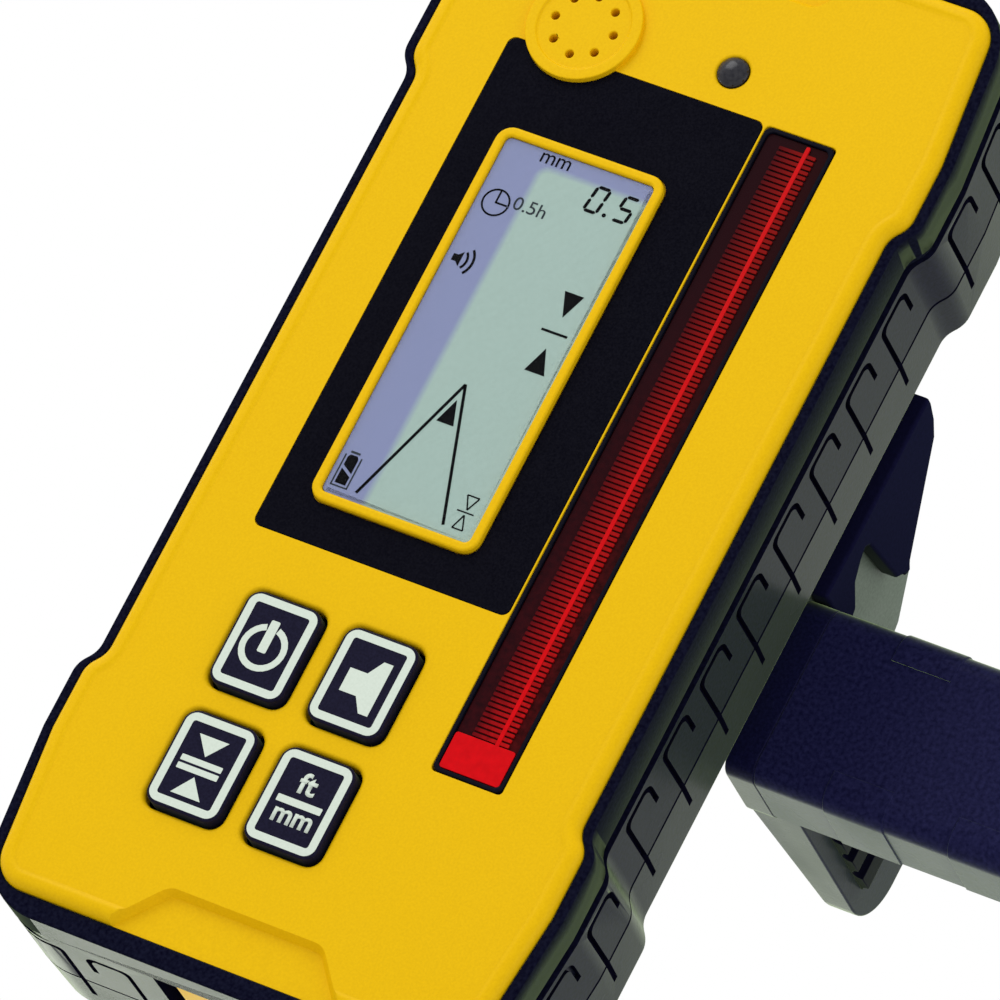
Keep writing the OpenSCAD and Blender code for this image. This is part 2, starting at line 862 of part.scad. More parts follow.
module battery_tube() {
  color("gray") translate([0, tube_y, 0]) difference() {
    translate([0, 0, wall_foot_z]) cylinder(h = tube_end_z + tube_end_t - wall_foot_z, r = tube_r);
    cylinder(h = tube_end_z, r = tube_bore_r);
  }
}

module cell(z) {
  color("saddlebrown") translate([0, tube_y, z]) union() {
    cylinder(h = cell_l - cell_nub_h, d = cell_d);
    cylinder(h = cell_l, r = cell_nub_r);
  }
}

module cell_lower() {
  cell(cell_lower_z);
}

module cell_upper() {
  cell(cell_upper_z);
}

module cell_contact() {
  color("goldenrod") translate([0, tube_y, contact_z]) cylinder(h = contact_h, r = contact_r);
}

module battery_door() {
  door_d = door_pin_y - door_front_y;
  color("gold") difference() {
    union() {
      along_z(door_sink, door_top_z)
        translate([0, door_front_y + door_d / 2]) rounded_rect(door_w, door_d, door_r);
      translate([-door_w / 2, door_pin_y - knuckle_r, door_sink])
        cube([door_w, knuckle_r, door_top_z - door_sink]);
      translate([-door_w / 2, door_pin_y, door_pin_z]) rotate([0, 90, 0])
        cylinder(h = door_w, r = knuckle_r);
    }
    translate([-door_w / 2 - over, door_pin_y, door_pin_z]) rotate([0, 90, 0])
      cylinder(h = door_w + 2 * over, r = door_pin_r + run_gap);
  }
}

module door_spring() {
  color("silver") translate([0, tube_y, door_top_z]) cylinder(h = spring_h, r = spring_r);
}

module door_pin() {
  pin_l = door_w + 2 * (door_gap + lug_t);
  color("silver") translate([-pin_l / 2, door_pin_y, door_pin_z]) rotate([0, 90, 0])
    cylinder(h = pin_l, r = door_pin_r);
}

module thread_inserts() {
  insert_y = back_inner_y - insert_boss_l;
  color("goldenrod") for (x = [-insert_x, insert_x]) {
    along_y(insert_y, insert_y + insert_l) translate([x, insert_v]) difference() {
      circle(insert_r);
      circle(bracket_screw_r + fit_gap);
    }
  }
}

// Side outline on the bracket's fin, from shares of its depth and height
function fin_points(shares) = [
  for (s = shares) [back_y + bracket_t + s[0] * fin_d, fin_foot_v + s[1] * (bracket_top_v - fin_foot_v)]
];

module clamp_bracket() {
  base_y = back_y + bracket_t;
  color("gray") difference() {
    union() {
      along_y(back_y, base_y)
        translate([beam_x - bracket_w / 2, (bracket_top_v + bracket_foot_v) / 2])
          rounded_rect(bracket_w, bracket_top_v - bracket_foot_v, bracket_r);
      along_y(base_y, beam_back_y)
        translate([beam_x - web_t, bracket_foot_v]) square([web_t, fin_foot_v - bracket_foot_v]);
      along_x(beam_x - fin_t, beam_x) polygon(fin_points(fin_shares));
    }
    for (x = [-insert_x, insert_x]) {
      along_y(back_y - over, base_y + over) translate([x, insert_v]) circle(bracket_screw_r + fit_gap);
      along_y(base_y - bracket_head_t - head_sink, base_y + over)
        translate([x, insert_v]) circle(bracket_head_r + fit_gap);
    }
    for (v = beam_screw_v) {
      rod_x(beam_x - web_t - over, beam_x + over, beam_y + beam_d / 2, v, beam_screw_r + fit_gap);
    }
  }
}

module bracket_cover() {
  color("black") along_x(beam_x, beam_x + cover_t) difference() {
    polygon(fin_points(cover_shares));
    polygon(fin_points(notch_shares));
  }
}

module bracket_screws() {
  seat_y = back_y + bracket_t - bracket_head_t - head_sink;
  color("silver") for (x = [-insert_x, insert_x]) {
    translate([x, 0, insert_v])
      screw_along_y(seat_y, bracket_head_r, bracket_head_t, bracket_screw_r, bracket_screw_l);
  }
}

// Cross section of the beam (depth, height), drawn in by an amount at the front, the top and the foot
module beam_section(inset) {
  translate([beam_y + beam_d / 2 + inset / 2, beam_v])
    rounded_rect(beam_d - inset, beam_h - 2 * inset, beam_r - inset);
}

// Jaw plate behind the beam, gripping towards +X from its root face at x = 0, tapering to its tip
module jaw_plate(root_gap) {
  intersection() {
    along_z(mid_z + beam_v - beam_h, mid_z + beam_v + beam_h) polygon([
      [0, beam_back_y + root_gap],
      [0, jaw_tip_y],
      [-jaw_tip_t, jaw_tip_y],
      [-jaw_t, beam_back_y + root_gap]
    ]);
    along_x(-jaw_t, 0) translate([jaw_tip_y - jaw_reach, beam_v])
      rounded_rect(2 * jaw_reach, jaw_h, jaw_corner_r);
  }
}

// Rubber pad with round grooves across the staff, gripping towards +X from its back at x = 0
module jaw_pad() {
  pad_d = jaw_reach - pad_margin - pad_tip_margin;
  pitch = pad_d / tooth_count;
  pad_y = beam_back_y + pad_margin;
  difference() {
    along_x(0, jaw_pad_t) translate([pad_y + pad_d / 2, beam_v])
      square([pad_d, jaw_h - 2 * pad_margin], center = true);
    for (i = [0 : tooth_count]) {
      translate([jaw_pad_t, pad_y + i * pitch, mid_z + beam_v])
        cylinder(h = jaw_h, r = tooth_cut, center = true);
    }
  }
}

module clamp_beam() {
  hole_end_x = beam_x + beam_screw_l - web_t + beam_head_t;
  color("black") difference() {
    union() {
      along_x(beam_x, beam_end_x) beam_section(grip_t);
      along_x(beam_x, beam_x + grip_start) beam_section(0);
      translate([beam_x + jaw_t, 0, 0]) jaw_plate(-beam_r);
    }
    along_x(channel_x, channel_end_x) translate([beam_back_y - channel_d, beam_v - channel_h / 2])
      square([channel_d + over, channel_h]);
    rod_x(channel_x - journal_l, channel_x + over, screw_y, beam_v, journal_r + run_gap);
    rod_x(channel_end_x - over, beam_end_x + over, screw_y, beam_v, screw_r + run_gap);
    for (v = beam_screw_v) {
      rod_x(beam_x - over, hole_end_x, beam_y + beam_d / 2, v, beam_screw_r + fit_gap);
    }
  }
}

module beam_screws() {
  color("silver") for (v = beam_screw_v) {
    rod_x(beam_x - web_t - beam_head_t, beam_x - web_t, beam_y + beam_d / 2, v, beam_head_r);
    rod_x(beam_x - web_t, beam_x - web_t + beam_screw_l, beam_y + beam_d / 2, v, beam_screw_r);
  }
}

// Raised grip pads that wrap the top and the foot edge of the beam
module grip_pad_section() {
  for (v = [-1, 1]) {
    edge_v = beam_v + v * (beam_h / 2 + grip_pad_rise);
    translate([beam_y - grip_pad_rise, v > 0 ? edge_v - grip_pad_h : edge_v])
      square([beam_d + grip_pad_rise - beam_r, grip_pad_h]);
  }
}

module beam_grip() {
  grip_x = beam_x + grip_start;
  color("darkslategray") difference() {
    union() {
      along_x(grip_x, beam_end_x) beam_section(0);
      for (i = [0 : grip_pad_count - 1]) {
        pad_x = beam_x + grip_pad_x + i * grip_pad_pitch;
        along_x(pad_x, pad_x + grip_pad_w) grip_pad_section();
      }
    }
    along_x(grip_x - over, beam_end_x + over) beam_section(grip_t);
    along_x(grip_x - over, beam_end_x + over) translate([beam_back_y - beam_r, beam_v - beam_h])
      square([beam_r + over, 2 * beam_h]);
  }
}

module fixed_pad() {
  color("dimgray") translate([beam_x + jaw_t, 0, 0]) jaw_pad();
}

module moving_jaw() {
  neck_front = beam_back_y - channel_d + move_gap;
  color("black") difference() {
    union() {
      translate([moving_root_x, 0, 0]) mirror([1, 0, 0]) jaw_plate(jaw_gap);
      along_x(moving_root_x, moving_root_x + neck_w)
        translate([neck_front, beam_v - channel_h / 2 + move_gap])
          square([beam_back_y + jaw_gap - neck_front, channel_h - 2 * move_gap]);
    }
    rod_x(moving_root_x - over, moving_root_x + neck_w + over, screw_y, beam_v, screw_r + run_gap);
  }
}

module moving_pad() {
  color("dimgray") translate([moving_root_x, 0, 0]) mirror([1, 0, 0]) jaw_pad();
}

// Rod through the knob's hub and the lead screw
module knob_pin_rod(r) {
  translate([beam_end_x + knob_gap + knob_l * knob_hub_share / 2, screw_y, mid_z + beam_v])
    cylinder(h = 2 * (knob_r - flute_cut - over), r = r, center = true);
}

module lead_screw() {
  knob_end = beam_end_x + knob_gap + knob_l * knob_hub_share;
  color("silver") union() {
    rod_x(channel_x - journal_l + fit_gap, channel_x + fit_gap, screw_y, beam_v, journal_r);
    difference() {
      rod_x(channel_x + fit_gap, knob_end, screw_y, beam_v, screw_r);
      knob_pin_rod(knob_pin_r + fit_gap);
    }
  }
}

module screw_collar() {
  color("silver") difference() {
    rod_x(channel_end_x - collar_gap - collar_t, channel_end_x - collar_gap, screw_y, beam_v, collar_r);
    rod_x(channel_x, beam_end_x, screw_y, beam_v, screw_r + fit_gap);
  }
}

// Knob with finger flutes, turned from a profile with a rounded rim
module clamp_knob() {
  knob_x = beam_end_x + knob_gap;
  color("black") difference() {
    translate([knob_x, screw_y, mid_z + beam_v]) rotate([0, 90, 0]) rotate_extrude() union() {
      square([knob_r - knob_round, knob_l]);
      translate([0, knob_round]) square([knob_r, knob_l - 2 * knob_round]);
      for (h = [knob_round, knob_l - knob_round]) {
        translate([knob_r - knob_round, h]) circle(knob_round);
      }
    }
    for (i = [0 : flute_count - 1]) {
      translate([knob_x - over, screw_y, mid_z + beam_v]) rotate([i * 360 / flute_count, 0, 0])
        translate([0, 0, knob_r + flute_r - flute_cut]) rotate([0, 90, 0])
          cylinder(h = knob_l + 2 * over, r = flute_r);
    }
    rod_x(knob_x - over, knob_x + knob_l * knob_hub_share, screw_y, beam_v, screw_r + fit_gap);
    knob_pin_rod(knob_pin_r + fit_gap);
  }
}

module knob_pin() {
  color("silver") knob_pin_rod(knob_pin_r);
}

front_shell();
rear_cover();
case_gasket();
bumper_front();
bumper_rear();
case_screws();
label_panel();
lcd_lens();
lcd_glass();
lcd_backlight();
window_frame();
window_lens();
photodiodes();
sensor_board();
board_headers();
main_board();
board_screws();
switch_domes();
key_power();
key_sound();
key_accuracy();
key_units();
buzzer();
status_dome();
battery_tube();
cell_lower();
cell_upper();
cell_contact();
battery_door();
door_spring();
door_pin();
thread_inserts();
clamp_bracket();
bracket_cover();
bracket_screws();
clamp_beam();
beam_screws();
beam_grip();
fixed_pad();
moving_jaw();
moving_pad();
lead_screw();
screw_collar();
clamp_knob();
knob_pin();
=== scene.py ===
# %% [markdown]
# # Dressing a laser receiver
#
# A laser receiver is a yellow case in black rubber armour. It listens for the beam of a rotating laser
# through a long red window, and a screw clamp on its back holds it to a levelling staff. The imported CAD
# model gives every solid its size and place. In this lesson the visible pieces get rounded edges, printed
# marks and real finishes. CAD parts come in as they are and are never changed: a piece that needs a better
# shape stands in for its node.

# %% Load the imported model
import json
import math

import bpy
from mathutils import Matrix, Vector


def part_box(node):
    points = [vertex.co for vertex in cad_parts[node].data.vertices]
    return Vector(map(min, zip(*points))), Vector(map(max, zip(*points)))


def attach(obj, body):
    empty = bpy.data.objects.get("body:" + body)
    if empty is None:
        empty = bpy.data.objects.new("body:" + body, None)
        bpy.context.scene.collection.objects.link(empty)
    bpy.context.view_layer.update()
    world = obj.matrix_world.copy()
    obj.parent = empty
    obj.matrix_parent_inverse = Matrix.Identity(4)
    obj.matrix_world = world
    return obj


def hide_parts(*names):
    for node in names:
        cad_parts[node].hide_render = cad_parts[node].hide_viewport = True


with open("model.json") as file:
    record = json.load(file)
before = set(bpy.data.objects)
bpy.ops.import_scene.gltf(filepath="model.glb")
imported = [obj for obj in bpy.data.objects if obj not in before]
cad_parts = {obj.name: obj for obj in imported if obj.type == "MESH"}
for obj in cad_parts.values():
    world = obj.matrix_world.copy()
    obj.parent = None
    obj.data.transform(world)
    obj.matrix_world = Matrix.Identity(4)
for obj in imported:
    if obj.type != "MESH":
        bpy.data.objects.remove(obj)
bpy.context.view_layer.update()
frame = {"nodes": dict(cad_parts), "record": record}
scene = bpy.context.scene
MM = 0.001

# %% [markdown]
# ## Working at the bench
#
# Operators act on whatever is selected, and loading leaves all CAD nodes selected. So one helper clears the
# selection and picks one piece, and two more go into edit mode and out again. The last one closes a piece:
# it moves the piece's place into its mesh, names it, lets it ride on the body that carries it, and says
# which CAD nodes it stands for. A new body often starts as a circle primitive: its points are moved onto an
# outline, which is then pulled into a closed body.

# %% Helpers for picking and closing a piece
slot_of_node = {part["node"]: part["material_slot"] for part in frame["record"]["subparts"]}
bodies = frame["record"]["behaviour"]["bodies"]
body_of_node = {node: body for body, nodes in bodies.items() for node in nodes}


def leave():
    """Go back to object mode."""
    bpy.ops.object.mode_set(mode="OBJECT")


def pick(piece):
    """Deselect everything, then select one piece and make it active."""
    if bpy.context.object and bpy.context.object.mode != "OBJECT":
        leave()
    bpy.ops.object.select_all(action="DESELECT")
    piece.select_set(True)
    bpy.context.view_layer.objects.active = piece


def enter(piece, action="SELECT"):
    """Go into edit mode on a piece, with everything selected, or nothing."""
    pick(piece)
    bpy.ops.object.mode_set(mode="EDIT")
    bpy.ops.mesh.select_all(action=action)


def close_piece(piece, name, body="receiver", stands_for=()):
    """Put the piece's place into its mesh, and tie it to its body and the nodes it replaces."""
    pick(piece)
    bpy.ops.object.transform_apply(location=True, rotation=True, scale=True)
    piece.name = name
    piece.data.name = name
    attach(piece, body)
    if stands_for:
        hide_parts(*stands_for)
    print(name, "has", len(piece.data.polygons), "faces and rides on", body)
    return piece


# %% Helpers for outlines and bodies
def arc(x, v, r, start, end, steps):
    """Points on an arc between two angles in degrees."""
    turns = [math.radians(start + (end - start) * i / steps) for i in range(steps + 1)]
    return [(x + r * math.cos(turn), v + r * math.sin(turn)) for turn in turns]


def ring_of(count, fill_type="NGON"):
    """A circle primitive with this many points, ready to be moved onto an outline."""
    bpy.ops.object.select_all(action="DESELECT")
    bpy.ops.mesh.primitive_circle_add(vertices=count, fill_type=fill_type)
    return bpy.context.object


def face_out():
    """Turn all faces of the piece in edit mode outwards, and leave edit mode."""
    bpy.ops.mesh.select_all(action="SELECT")
    bpy.ops.mesh.normals_make_consistent(inside=False)
    leave()


def pulled(piece, *moves):
    """Pull a flat outline by one move after another, in metres, into a closed body."""
    enter(piece)
    for move in moves:
        bpy.ops.mesh.extrude_region_move(TRANSFORM_OT_translate={"value": move})
    face_out()
    return piece


# %% [markdown]
# ## Places on the face
#
# The face looks along -Y. A place on it is written as x to the right and v up from the middle of the case,
# in millimetres, which is how a ruler on the real thing would read. All depths come from the CAD nodes'
# boxes.

# %% Read the depths and the middle of the case
shell_low, shell_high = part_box("front_shell")
MID_Z = (shell_low.z + shell_high.z) / 2 / MM
FACE_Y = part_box("label_panel")[0].y / MM
RIM_Y = shell_low.y / MM
LIP_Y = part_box("bumper_front")[0].y / MM
FLANGE_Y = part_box("buzzer")[0].y / MM
JOINT_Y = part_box("bumper_front")[1].y / MM
print("face at Y", round(FACE_Y, 2), "rim at Y", round(RIM_Y, 2), "middle at Z", round(MID_Z, 2))


def face_box(node):
    """Lowest x, highest x, lowest v and highest v of a node, in mm."""
    low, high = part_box(node)
    return low.x / MM, high.x / MM, low.z / MM - MID_Z, high.z / MM - MID_Z


# %% [markdown]
# ## The camera
#
# The photograph was taken with a long lens from low in front and to the right, with the camera rolled.
# Three directions fix how such a camera is turned: where its right side, its top and its back point. They
# are the columns of its matrix. A long lens far away keeps the sides of the case almost parallel.

# %% Set up the camera
camera_right = Vector((0.85455074, 0.26536276, 0.44645901))
camera_up = Vector((-0.31220322, -0.42451073, 0.84989399))
camera_back = Vector((0.41505685, -0.86566347, -0.27991885))
camera_place = Vector((0.667385, -1.387313, -0.372131))
camera_data = bpy.data.cameras.new("camera")
camera_data.sensor_width = 36
camera_data.lens = 442.592
camera_data.clip_start = 0.1
camera = bpy.data.objects.new("camera", camera_data)
scene.collection.objects.link(camera)
turn = Matrix((camera_right, camera_up, camera_back)).transposed().to_4x4()
camera.matrix_world = Matrix.Translation(camera_place) @ turn
scene.camera = camera
print("camera stands", round(camera_place.length, 2), "m from the foot of the case")

# %% [markdown]
# ## Light and floor
#
# The photograph is lit softly from all round, on white. So the world is white wherever the camera or a
# glossy surface looks at it, and a little dimmer as a lamp, and three large soft lamps shape the edges. The
# floor is pale and shows the shadow of the object. It is there for a camera that looks down on it, and lets
# all light through, because this camera stands lower than the floor and the foot of the case is lit from
# below.


# %% Helpers for shader nodes
def node_of(owner, kind, **inputs):
    """Add a node to a material or a world and set some of its inputs by name."""
    node = owner.node_tree.nodes.new(kind)
    for name, value in inputs.items():
        node.inputs[name.replace("_", " ")].default_value = value
    return node


def maths(owner, operation, first, second):
    """One step of arithmetic on outputs or numbers."""
    step = node_of(owner, "ShaderNodeMath")
    step.operation = operation
    for socket, value in zip(step.inputs, (first, second)):
        if isinstance(value, (int, float)):
            socket.default_value = value
        else:
            owner.node_tree.links.new(value, socket)
    return step.outputs[0]


def choose(owner, factor, first, second, output_kind):
    """Show the first shader where the factor is 0 and the second one where it is 1."""
    links = owner.node_tree.links
    mix = node_of(owner, "ShaderNodeMixShader")
    output = node_of(owner, output_kind)
    links.new(factor, mix.inputs["Fac"])
    links.new(first.outputs[0], mix.inputs[1])
    links.new(second.outputs[0], mix.inputs[2])
    links.new(mix.outputs[0], output.inputs["Surface"])


# %% White surroundings
AMBIENT, WHITE = 0.72, (1, 1, 1, 1)


def white_world(ambient):
    """White for camera, glossy and clear surfaces, and a plain grey light for everything else."""
    world = bpy.data.worlds.new("studio")
    world.use_nodes = True
    world.node_tree.nodes.clear()
    path = node_of(world, "ShaderNodeLightPath").outputs
    seen = maths(world, "MAXIMUM", path["Is Camera Ray"], path["Is Glossy Ray"])
    seen = maths(world, "MAXIMUM", seen, path["Is Transmission Ray"])
    grey = node_of(world, "ShaderNodeBackground", Color=WHITE, Strength=ambient)
    white = node_of(world, "ShaderNodeBackground", Color=WHITE, Strength=1)
    choose(world, seen, grey, white, "ShaderNodeOutputWorld")
    return world


scene.world = white_world(AMBIENT)
scene.view_settings.view_transform = "Standard"
print("world light is", AMBIENT)


# %% Soft lamps
def soft_lamp(name, direction, distance, size, level):
    """A square lamp that looks at the middle of the case and adds this share to the light there."""
    target = Vector((0, 0, MID_Z * MM))
    data = bpy.data.lights.new(name, "AREA")
    data.size = size
    data.energy = level * math.pi ** 2 * distance ** 2
    lamp = bpy.data.objects.new(name, data)
    scene.collection.objects.link(lamp)
    lamp.location = target + Vector(direction).normalized() * distance
    lamp.rotation_euler = (target - lamp.location).to_track_quat("-Z", "Y").to_euler()
    print(name, "gives", round(data.energy, 2), "W")


soft_lamp("key_lamp", (-0.75, -0.75, 0.85), 1.2, 0.8, 0.42)
soft_lamp("side_lamp", (0.95, -0.35, 0.2), 1.2, 0.7, 0.12)
soft_lamp("low_lamp", (-0.4, 0.85, -0.36), 1.2, 0.8, 0.16)


# %% Pale floor, clear from below
FLOOR_W, FLOOR_TONE = 6, (0.9, 0.9, 0.9, 1)


def floor_finish():
    """White floor that a camera sees from above, and that light and reflections pass through."""
    material = bpy.data.materials.new("pale_floor")
    material.use_nodes = True
    material.node_tree.nodes.clear()
    camera_ray = node_of(material, "ShaderNodeLightPath").outputs["Is Camera Ray"]
    from_below = node_of(material, "ShaderNodeNewGeometry").outputs["Backfacing"]
    seen = maths(material, "MAXIMUM", maths(material, "SUBTRACT", camera_ray, from_below), 0.0)
    clear = node_of(material, "ShaderNodeBsdfTransparent")
    matt = node_of(material, "ShaderNodeBsdfDiffuse", Color=FLOOR_TONE)
    choose(material, seen, clear, matt, "ShaderNodeOutputMaterial")
    return material


bpy.ops.object.select_all(action="DESELECT")
bpy.ops.mesh.primitive_plane_add(size=FLOOR_W, location=(0, 0, 0))
floor = bpy.context.object
floor.name = "floor"
floor.data.materials.append(floor_finish())
print("floor is", floor.dimensions.x, "m wide")

# %% [markdown]
# ## Finishes
#
# Moulded plastic and rubber are never one flat colour: the tool leaves a fine grain, and the gloss wanders
# a little from place to place. One helper makes such a finish from two noises on Object coordinates. The
# fine one tints the colour and lifts the grain, and the coarse one moves the roughness. Numbers that are
# the same all over the surface go straight into the shader's own sockets.


# %% A helper for moulded finishes
NOISE_RANGE = (0.3, 0.7)
COARSER, GLOSS_SWING = 22, 0.06
SHEEN_TINT, SHEEN_ROUGHNESS = (0.74, 1.0, 0.44, 1), 0.3


def noise_of(material, size, detail=2.0):
    """Noise on Object coordinates whose blobs are about this many millimetres across."""
    where = node_of(material, "ShaderNodeTexCoord")
    noise = node_of(material, "ShaderNodeTexNoise", Scale=1 / (size * MM), Detail=detail)
    material.node_tree.links.new(where.outputs["Object"], noise.inputs["Vector"])
    return noise.outputs["Fac"]


def spread_of(material, value, low, high, to_low, to_high):
    """Stretch a value from one range to another."""
    spread = node_of(
        material, "ShaderNodeMapRange", From_Min=low, From_Max=high, To_Min=to_low, To_Max=to_high)
    material.node_tree.links.new(value, spread.inputs["Value"])
    return spread.outputs["Result"]


def blend_of(material, value, first, second):
    """Blend two colours, or the outputs of two nodes, by a value."""
    mix = material.node_tree.nodes.new("ShaderNodeMix")
    mix.data_type = "RGBA"
    material.node_tree.links.new(value, mix.inputs["Factor"])
    for socket, colour in ((mix.inputs[6], first), (mix.inputs[7], second)):
        if isinstance(colour, tuple):
            socket.default_value = (*colour, 1)
        else:
            material.node_tree.links.new(colour, socket)
    return mix.outputs[2]


def surface(material, colour, gloss, height, strength, relief):
    """Link a colour, a gloss and a grain of this height in mm to a material's shader."""
    links = material.node_tree.links
    shader = material.node_tree.nodes["Principled BSDF"]
    bump = node_of(material, "ShaderNodeBump", Strength=strength, Distance=relief * MM)
    links.new(height, bump.inputs["Height"])
    links.new(colour, shader.inputs["Base Color"])
    links.new(gloss, shader.inputs["Roughness"])
    links.new(bump.outputs["Normal"], shader.inputs["Normal"])


def moulded(name, light, dark, roughness, grain, relief, specular, sheen=0.0):
    """A moulded finish: two tones, a wandering gloss, and a grain of this size and height in mm."""
    material = bpy.data.materials.new(name)
    material.use_nodes = True
    sockets = material.node_tree.nodes["Principled BSDF"].inputs
    sockets["Specular IOR Level"].default_value = specular
    sockets["Sheen Weight"].default_value = sheen
    sockets["Sheen Roughness"].default_value = SHEEN_ROUGHNESS
    sockets["Sheen Tint"].default_value = SHEEN_TINT
    fine = noise_of(material, grain)
    coarse = noise_of(material, grain * COARSER)
    colour = blend_of(material, spread_of(material, fine, *NOISE_RANGE, 0, 1), dark, light)
    gloss = spread_of(material, coarse, *NOISE_RANGE, roughness - GLOSS_SWING, roughness + GLOSS_SWING)
    surface(material, colour, gloss, fine, 1.0, relief)
    return material


# %% [markdown]
# ### Plastics, rubbers and inks
#
# The case is a strong yellow with a fine spark-eroded grain. The armour is a blue-black rubber: looked at
# straight on it swallows light, and at a glancing angle the bloom on its skin shows, so its sides look
# grey-green. That is what the shader's Sheen does, and no light has to be painted on. Keys and jaw pads are
# duller rubbers. The band of the lip and the grooves take duller copies of the armour's rubber, darker in
# the
# grooves: painted shade. The buzzer's face is painted red-brown: painted shade that stands for the yellow
# walls of the sound holes in shadow, and it shows through the sound holes.

# %% Plastic, rubber and ink finishes
MOULDED = {
    # light tone, dark tone, roughness, size of the grain, height of the grain, specular, sheen
    "yellow_plastic": ((0.91, 0.555, 0.003), (0.85, 0.505, 0.002), 0.38, 0.35, 0.006, 0.06),
    "armour_rubber": ((0.008, 0.008, 0.030), (0.003, 0.003, 0.014), 0.22, 0.5, 0.010, 0.045, 0.65),
    "grip_rubber": ((0.018, 0.018, 0.075), (0.006, 0.006, 0.038), 0.28, 0.6, 0.010, 0.03, 1.0),
    # The lip's finish is a duller copy of the armour's rubber, with less sheen and no gloss: painted shade
    # that darkens the band.
    "shaded_lip_rubber": ((0.009, 0.010, 0.026), (0.003, 0.003, 0.012), 0.5, 0.5, 0.020, 0.0, 0.2),
    # The grooves' finish is darker and has no sheen or gloss: painted shade inside the grooves.
    "painted_groove_shade": ((0.005, 0.005, 0.016), (0.003, 0.003, 0.010), 0.8, 0.5, 0.010, 0.0),
    "key_rubber": ((0.011, 0.010, 0.030), (0.006, 0.005, 0.018), 0.5, 0.3, 0.006, 0.05, 0.1),
    "jaw_rubber": ((0.005, 0.005, 0.018), (0.003, 0.003, 0.010), 0.5, 0.5, 0.015, 0.02, 0.4),
    "case_black": ((0.010, 0.010, 0.030), (0.005, 0.005, 0.016), 0.4, 0.5, 0.012, 0.06, 0.5),
    "clamp_black": ((0.009, 0.009, 0.048), (0.004, 0.004, 0.026), 0.28, 0.45, 0.010, 0.04, 1.0),
    "cover_black": ((0.008, 0.008, 0.034), (0.006, 0.006, 0.026), 0.7, 0.5, 0.01, 0.0, 0.1),
    # The bracket's pale grey-green is partly its own tone and partly painted light: it stands for the fin
    # lit from the right and the back, seen through the cover's notch.
    "bracket_grey": ((0.175, 0.225, 0.170), (0.130, 0.170, 0.125), 0.5, 0.5, 0.015, 0.15),
    "panel_film": ((0.0045, 0.0045, 0.0090), (0.0010, 0.0010, 0.0040), 0.55, 0.3, 0.006, 0.022),
    "trim_black": ((0.004, 0.004, 0.010), (0.002, 0.002, 0.006), 0.45, 0.4, 0.006, 0.04),
    "smoky_dome": ((0.022, 0.022, 0.028), (0.002, 0.002, 0.008), 0.25, 0.5, 0.01, 0.3),
    "display_ink": ((0.004, 0.004, 0.005), (0.003, 0.003, 0.004), 0.6, 0.3, 0.001, 0.02),
    "display_grey_ink": ((0.040, 0.050, 0.060), (0.030, 0.038, 0.045), 0.6, 0.3, 0.001, 0.05),
    "key_print": ((0.74, 0.83, 0.73), (0.69, 0.78, 0.68), 0.5, 0.35, 0.003, 0.1),
    # The buzzer's red-brown is painted shade: it stands for the yellow walls of the sound holes in shadow.
    "painted_hole_shade": ((0.10, 0.018, 0.004), (0.05, 0.010, 0.003), 0.6, 0.5, 0.01, 0.1),
    "board_green": ((0.03, 0.22, 0.09), (0.015, 0.13, 0.05), 0.3, 1.4, 0.01, 0.5),
    "light_guide": ((0.86, 0.86, 0.83), (0.80, 0.80, 0.78), 0.4, 0.8, 0.004, 0.4),
}
finishes = {name: moulded(name, *values) for name, values in MOULDED.items()}
print(len(finishes), "moulded finishes")

# %% [markdown]
# ### Clear and red surfaces
#
# The display has a light grey-green field with a lilac strip along its left side and top. The strip is
# painted shadow: the shade that the rim casts on the sunken display. It is one rounded distance worked out
# from the Object coordinates, so it stays crisp at any size. The red lens has a mottled, darker body,
# brighter ribs that catch the light, and the brightest red along one line and at its foot. The cover over
# the display is nearly clear.

# %% Display and lens finishes
# The lilac colour and the field's edge below give the painted shadow that the display's rim casts.
FIELD_X, FIELD_V, FIELD_CORNER, FIELD_SOFTNESS = -12.65, 38.1, 1.5, 0.55
FADE_V, FADE_X = (-36.0, 34.0), (15.8, 19.9)
PAINTED_SHADOW_LILAC, LENS_DARK = (0.235, 0.272, 0.470), (0.014, 0.002, 0.005)
COVER_ALPHA = 0.02
REDS = {
    # tone at the top, tone at the foot, size of the blotches, their contrast, shade on the left
    "red_lens": ((0.020, 0.002, 0.003), (0.075, 0.003, 0.004), 0.9, 0.3, 0.6),
    "red_ribs": ((0.24, 0.006, 0.005), (0.52, 0.006, 0.008), 0.7, 0.6, 0.9),
    "red_bright": ((0.62, 0.008, 0.010), (0.74, 0.004, 0.008), 1.2, 0.85, 0),
}


def place_of(material):
    """X and Z of the Object coordinates as two outputs."""
    where = node_of(material, "ShaderNodeTexCoord")
    split = node_of(material, "ShaderNodeSeparateXYZ")
    material.node_tree.links.new(where.outputs["Object"], split.inputs[0])
    return split.outputs["X"], split.outputs["Z"]


def colour_of(material):
    """The shader's colour socket, and the output that feeds it so far."""
    socket = material.node_tree.nodes["Principled BSDF"].inputs["Base Color"]
    return socket, socket.links[0].from_socket


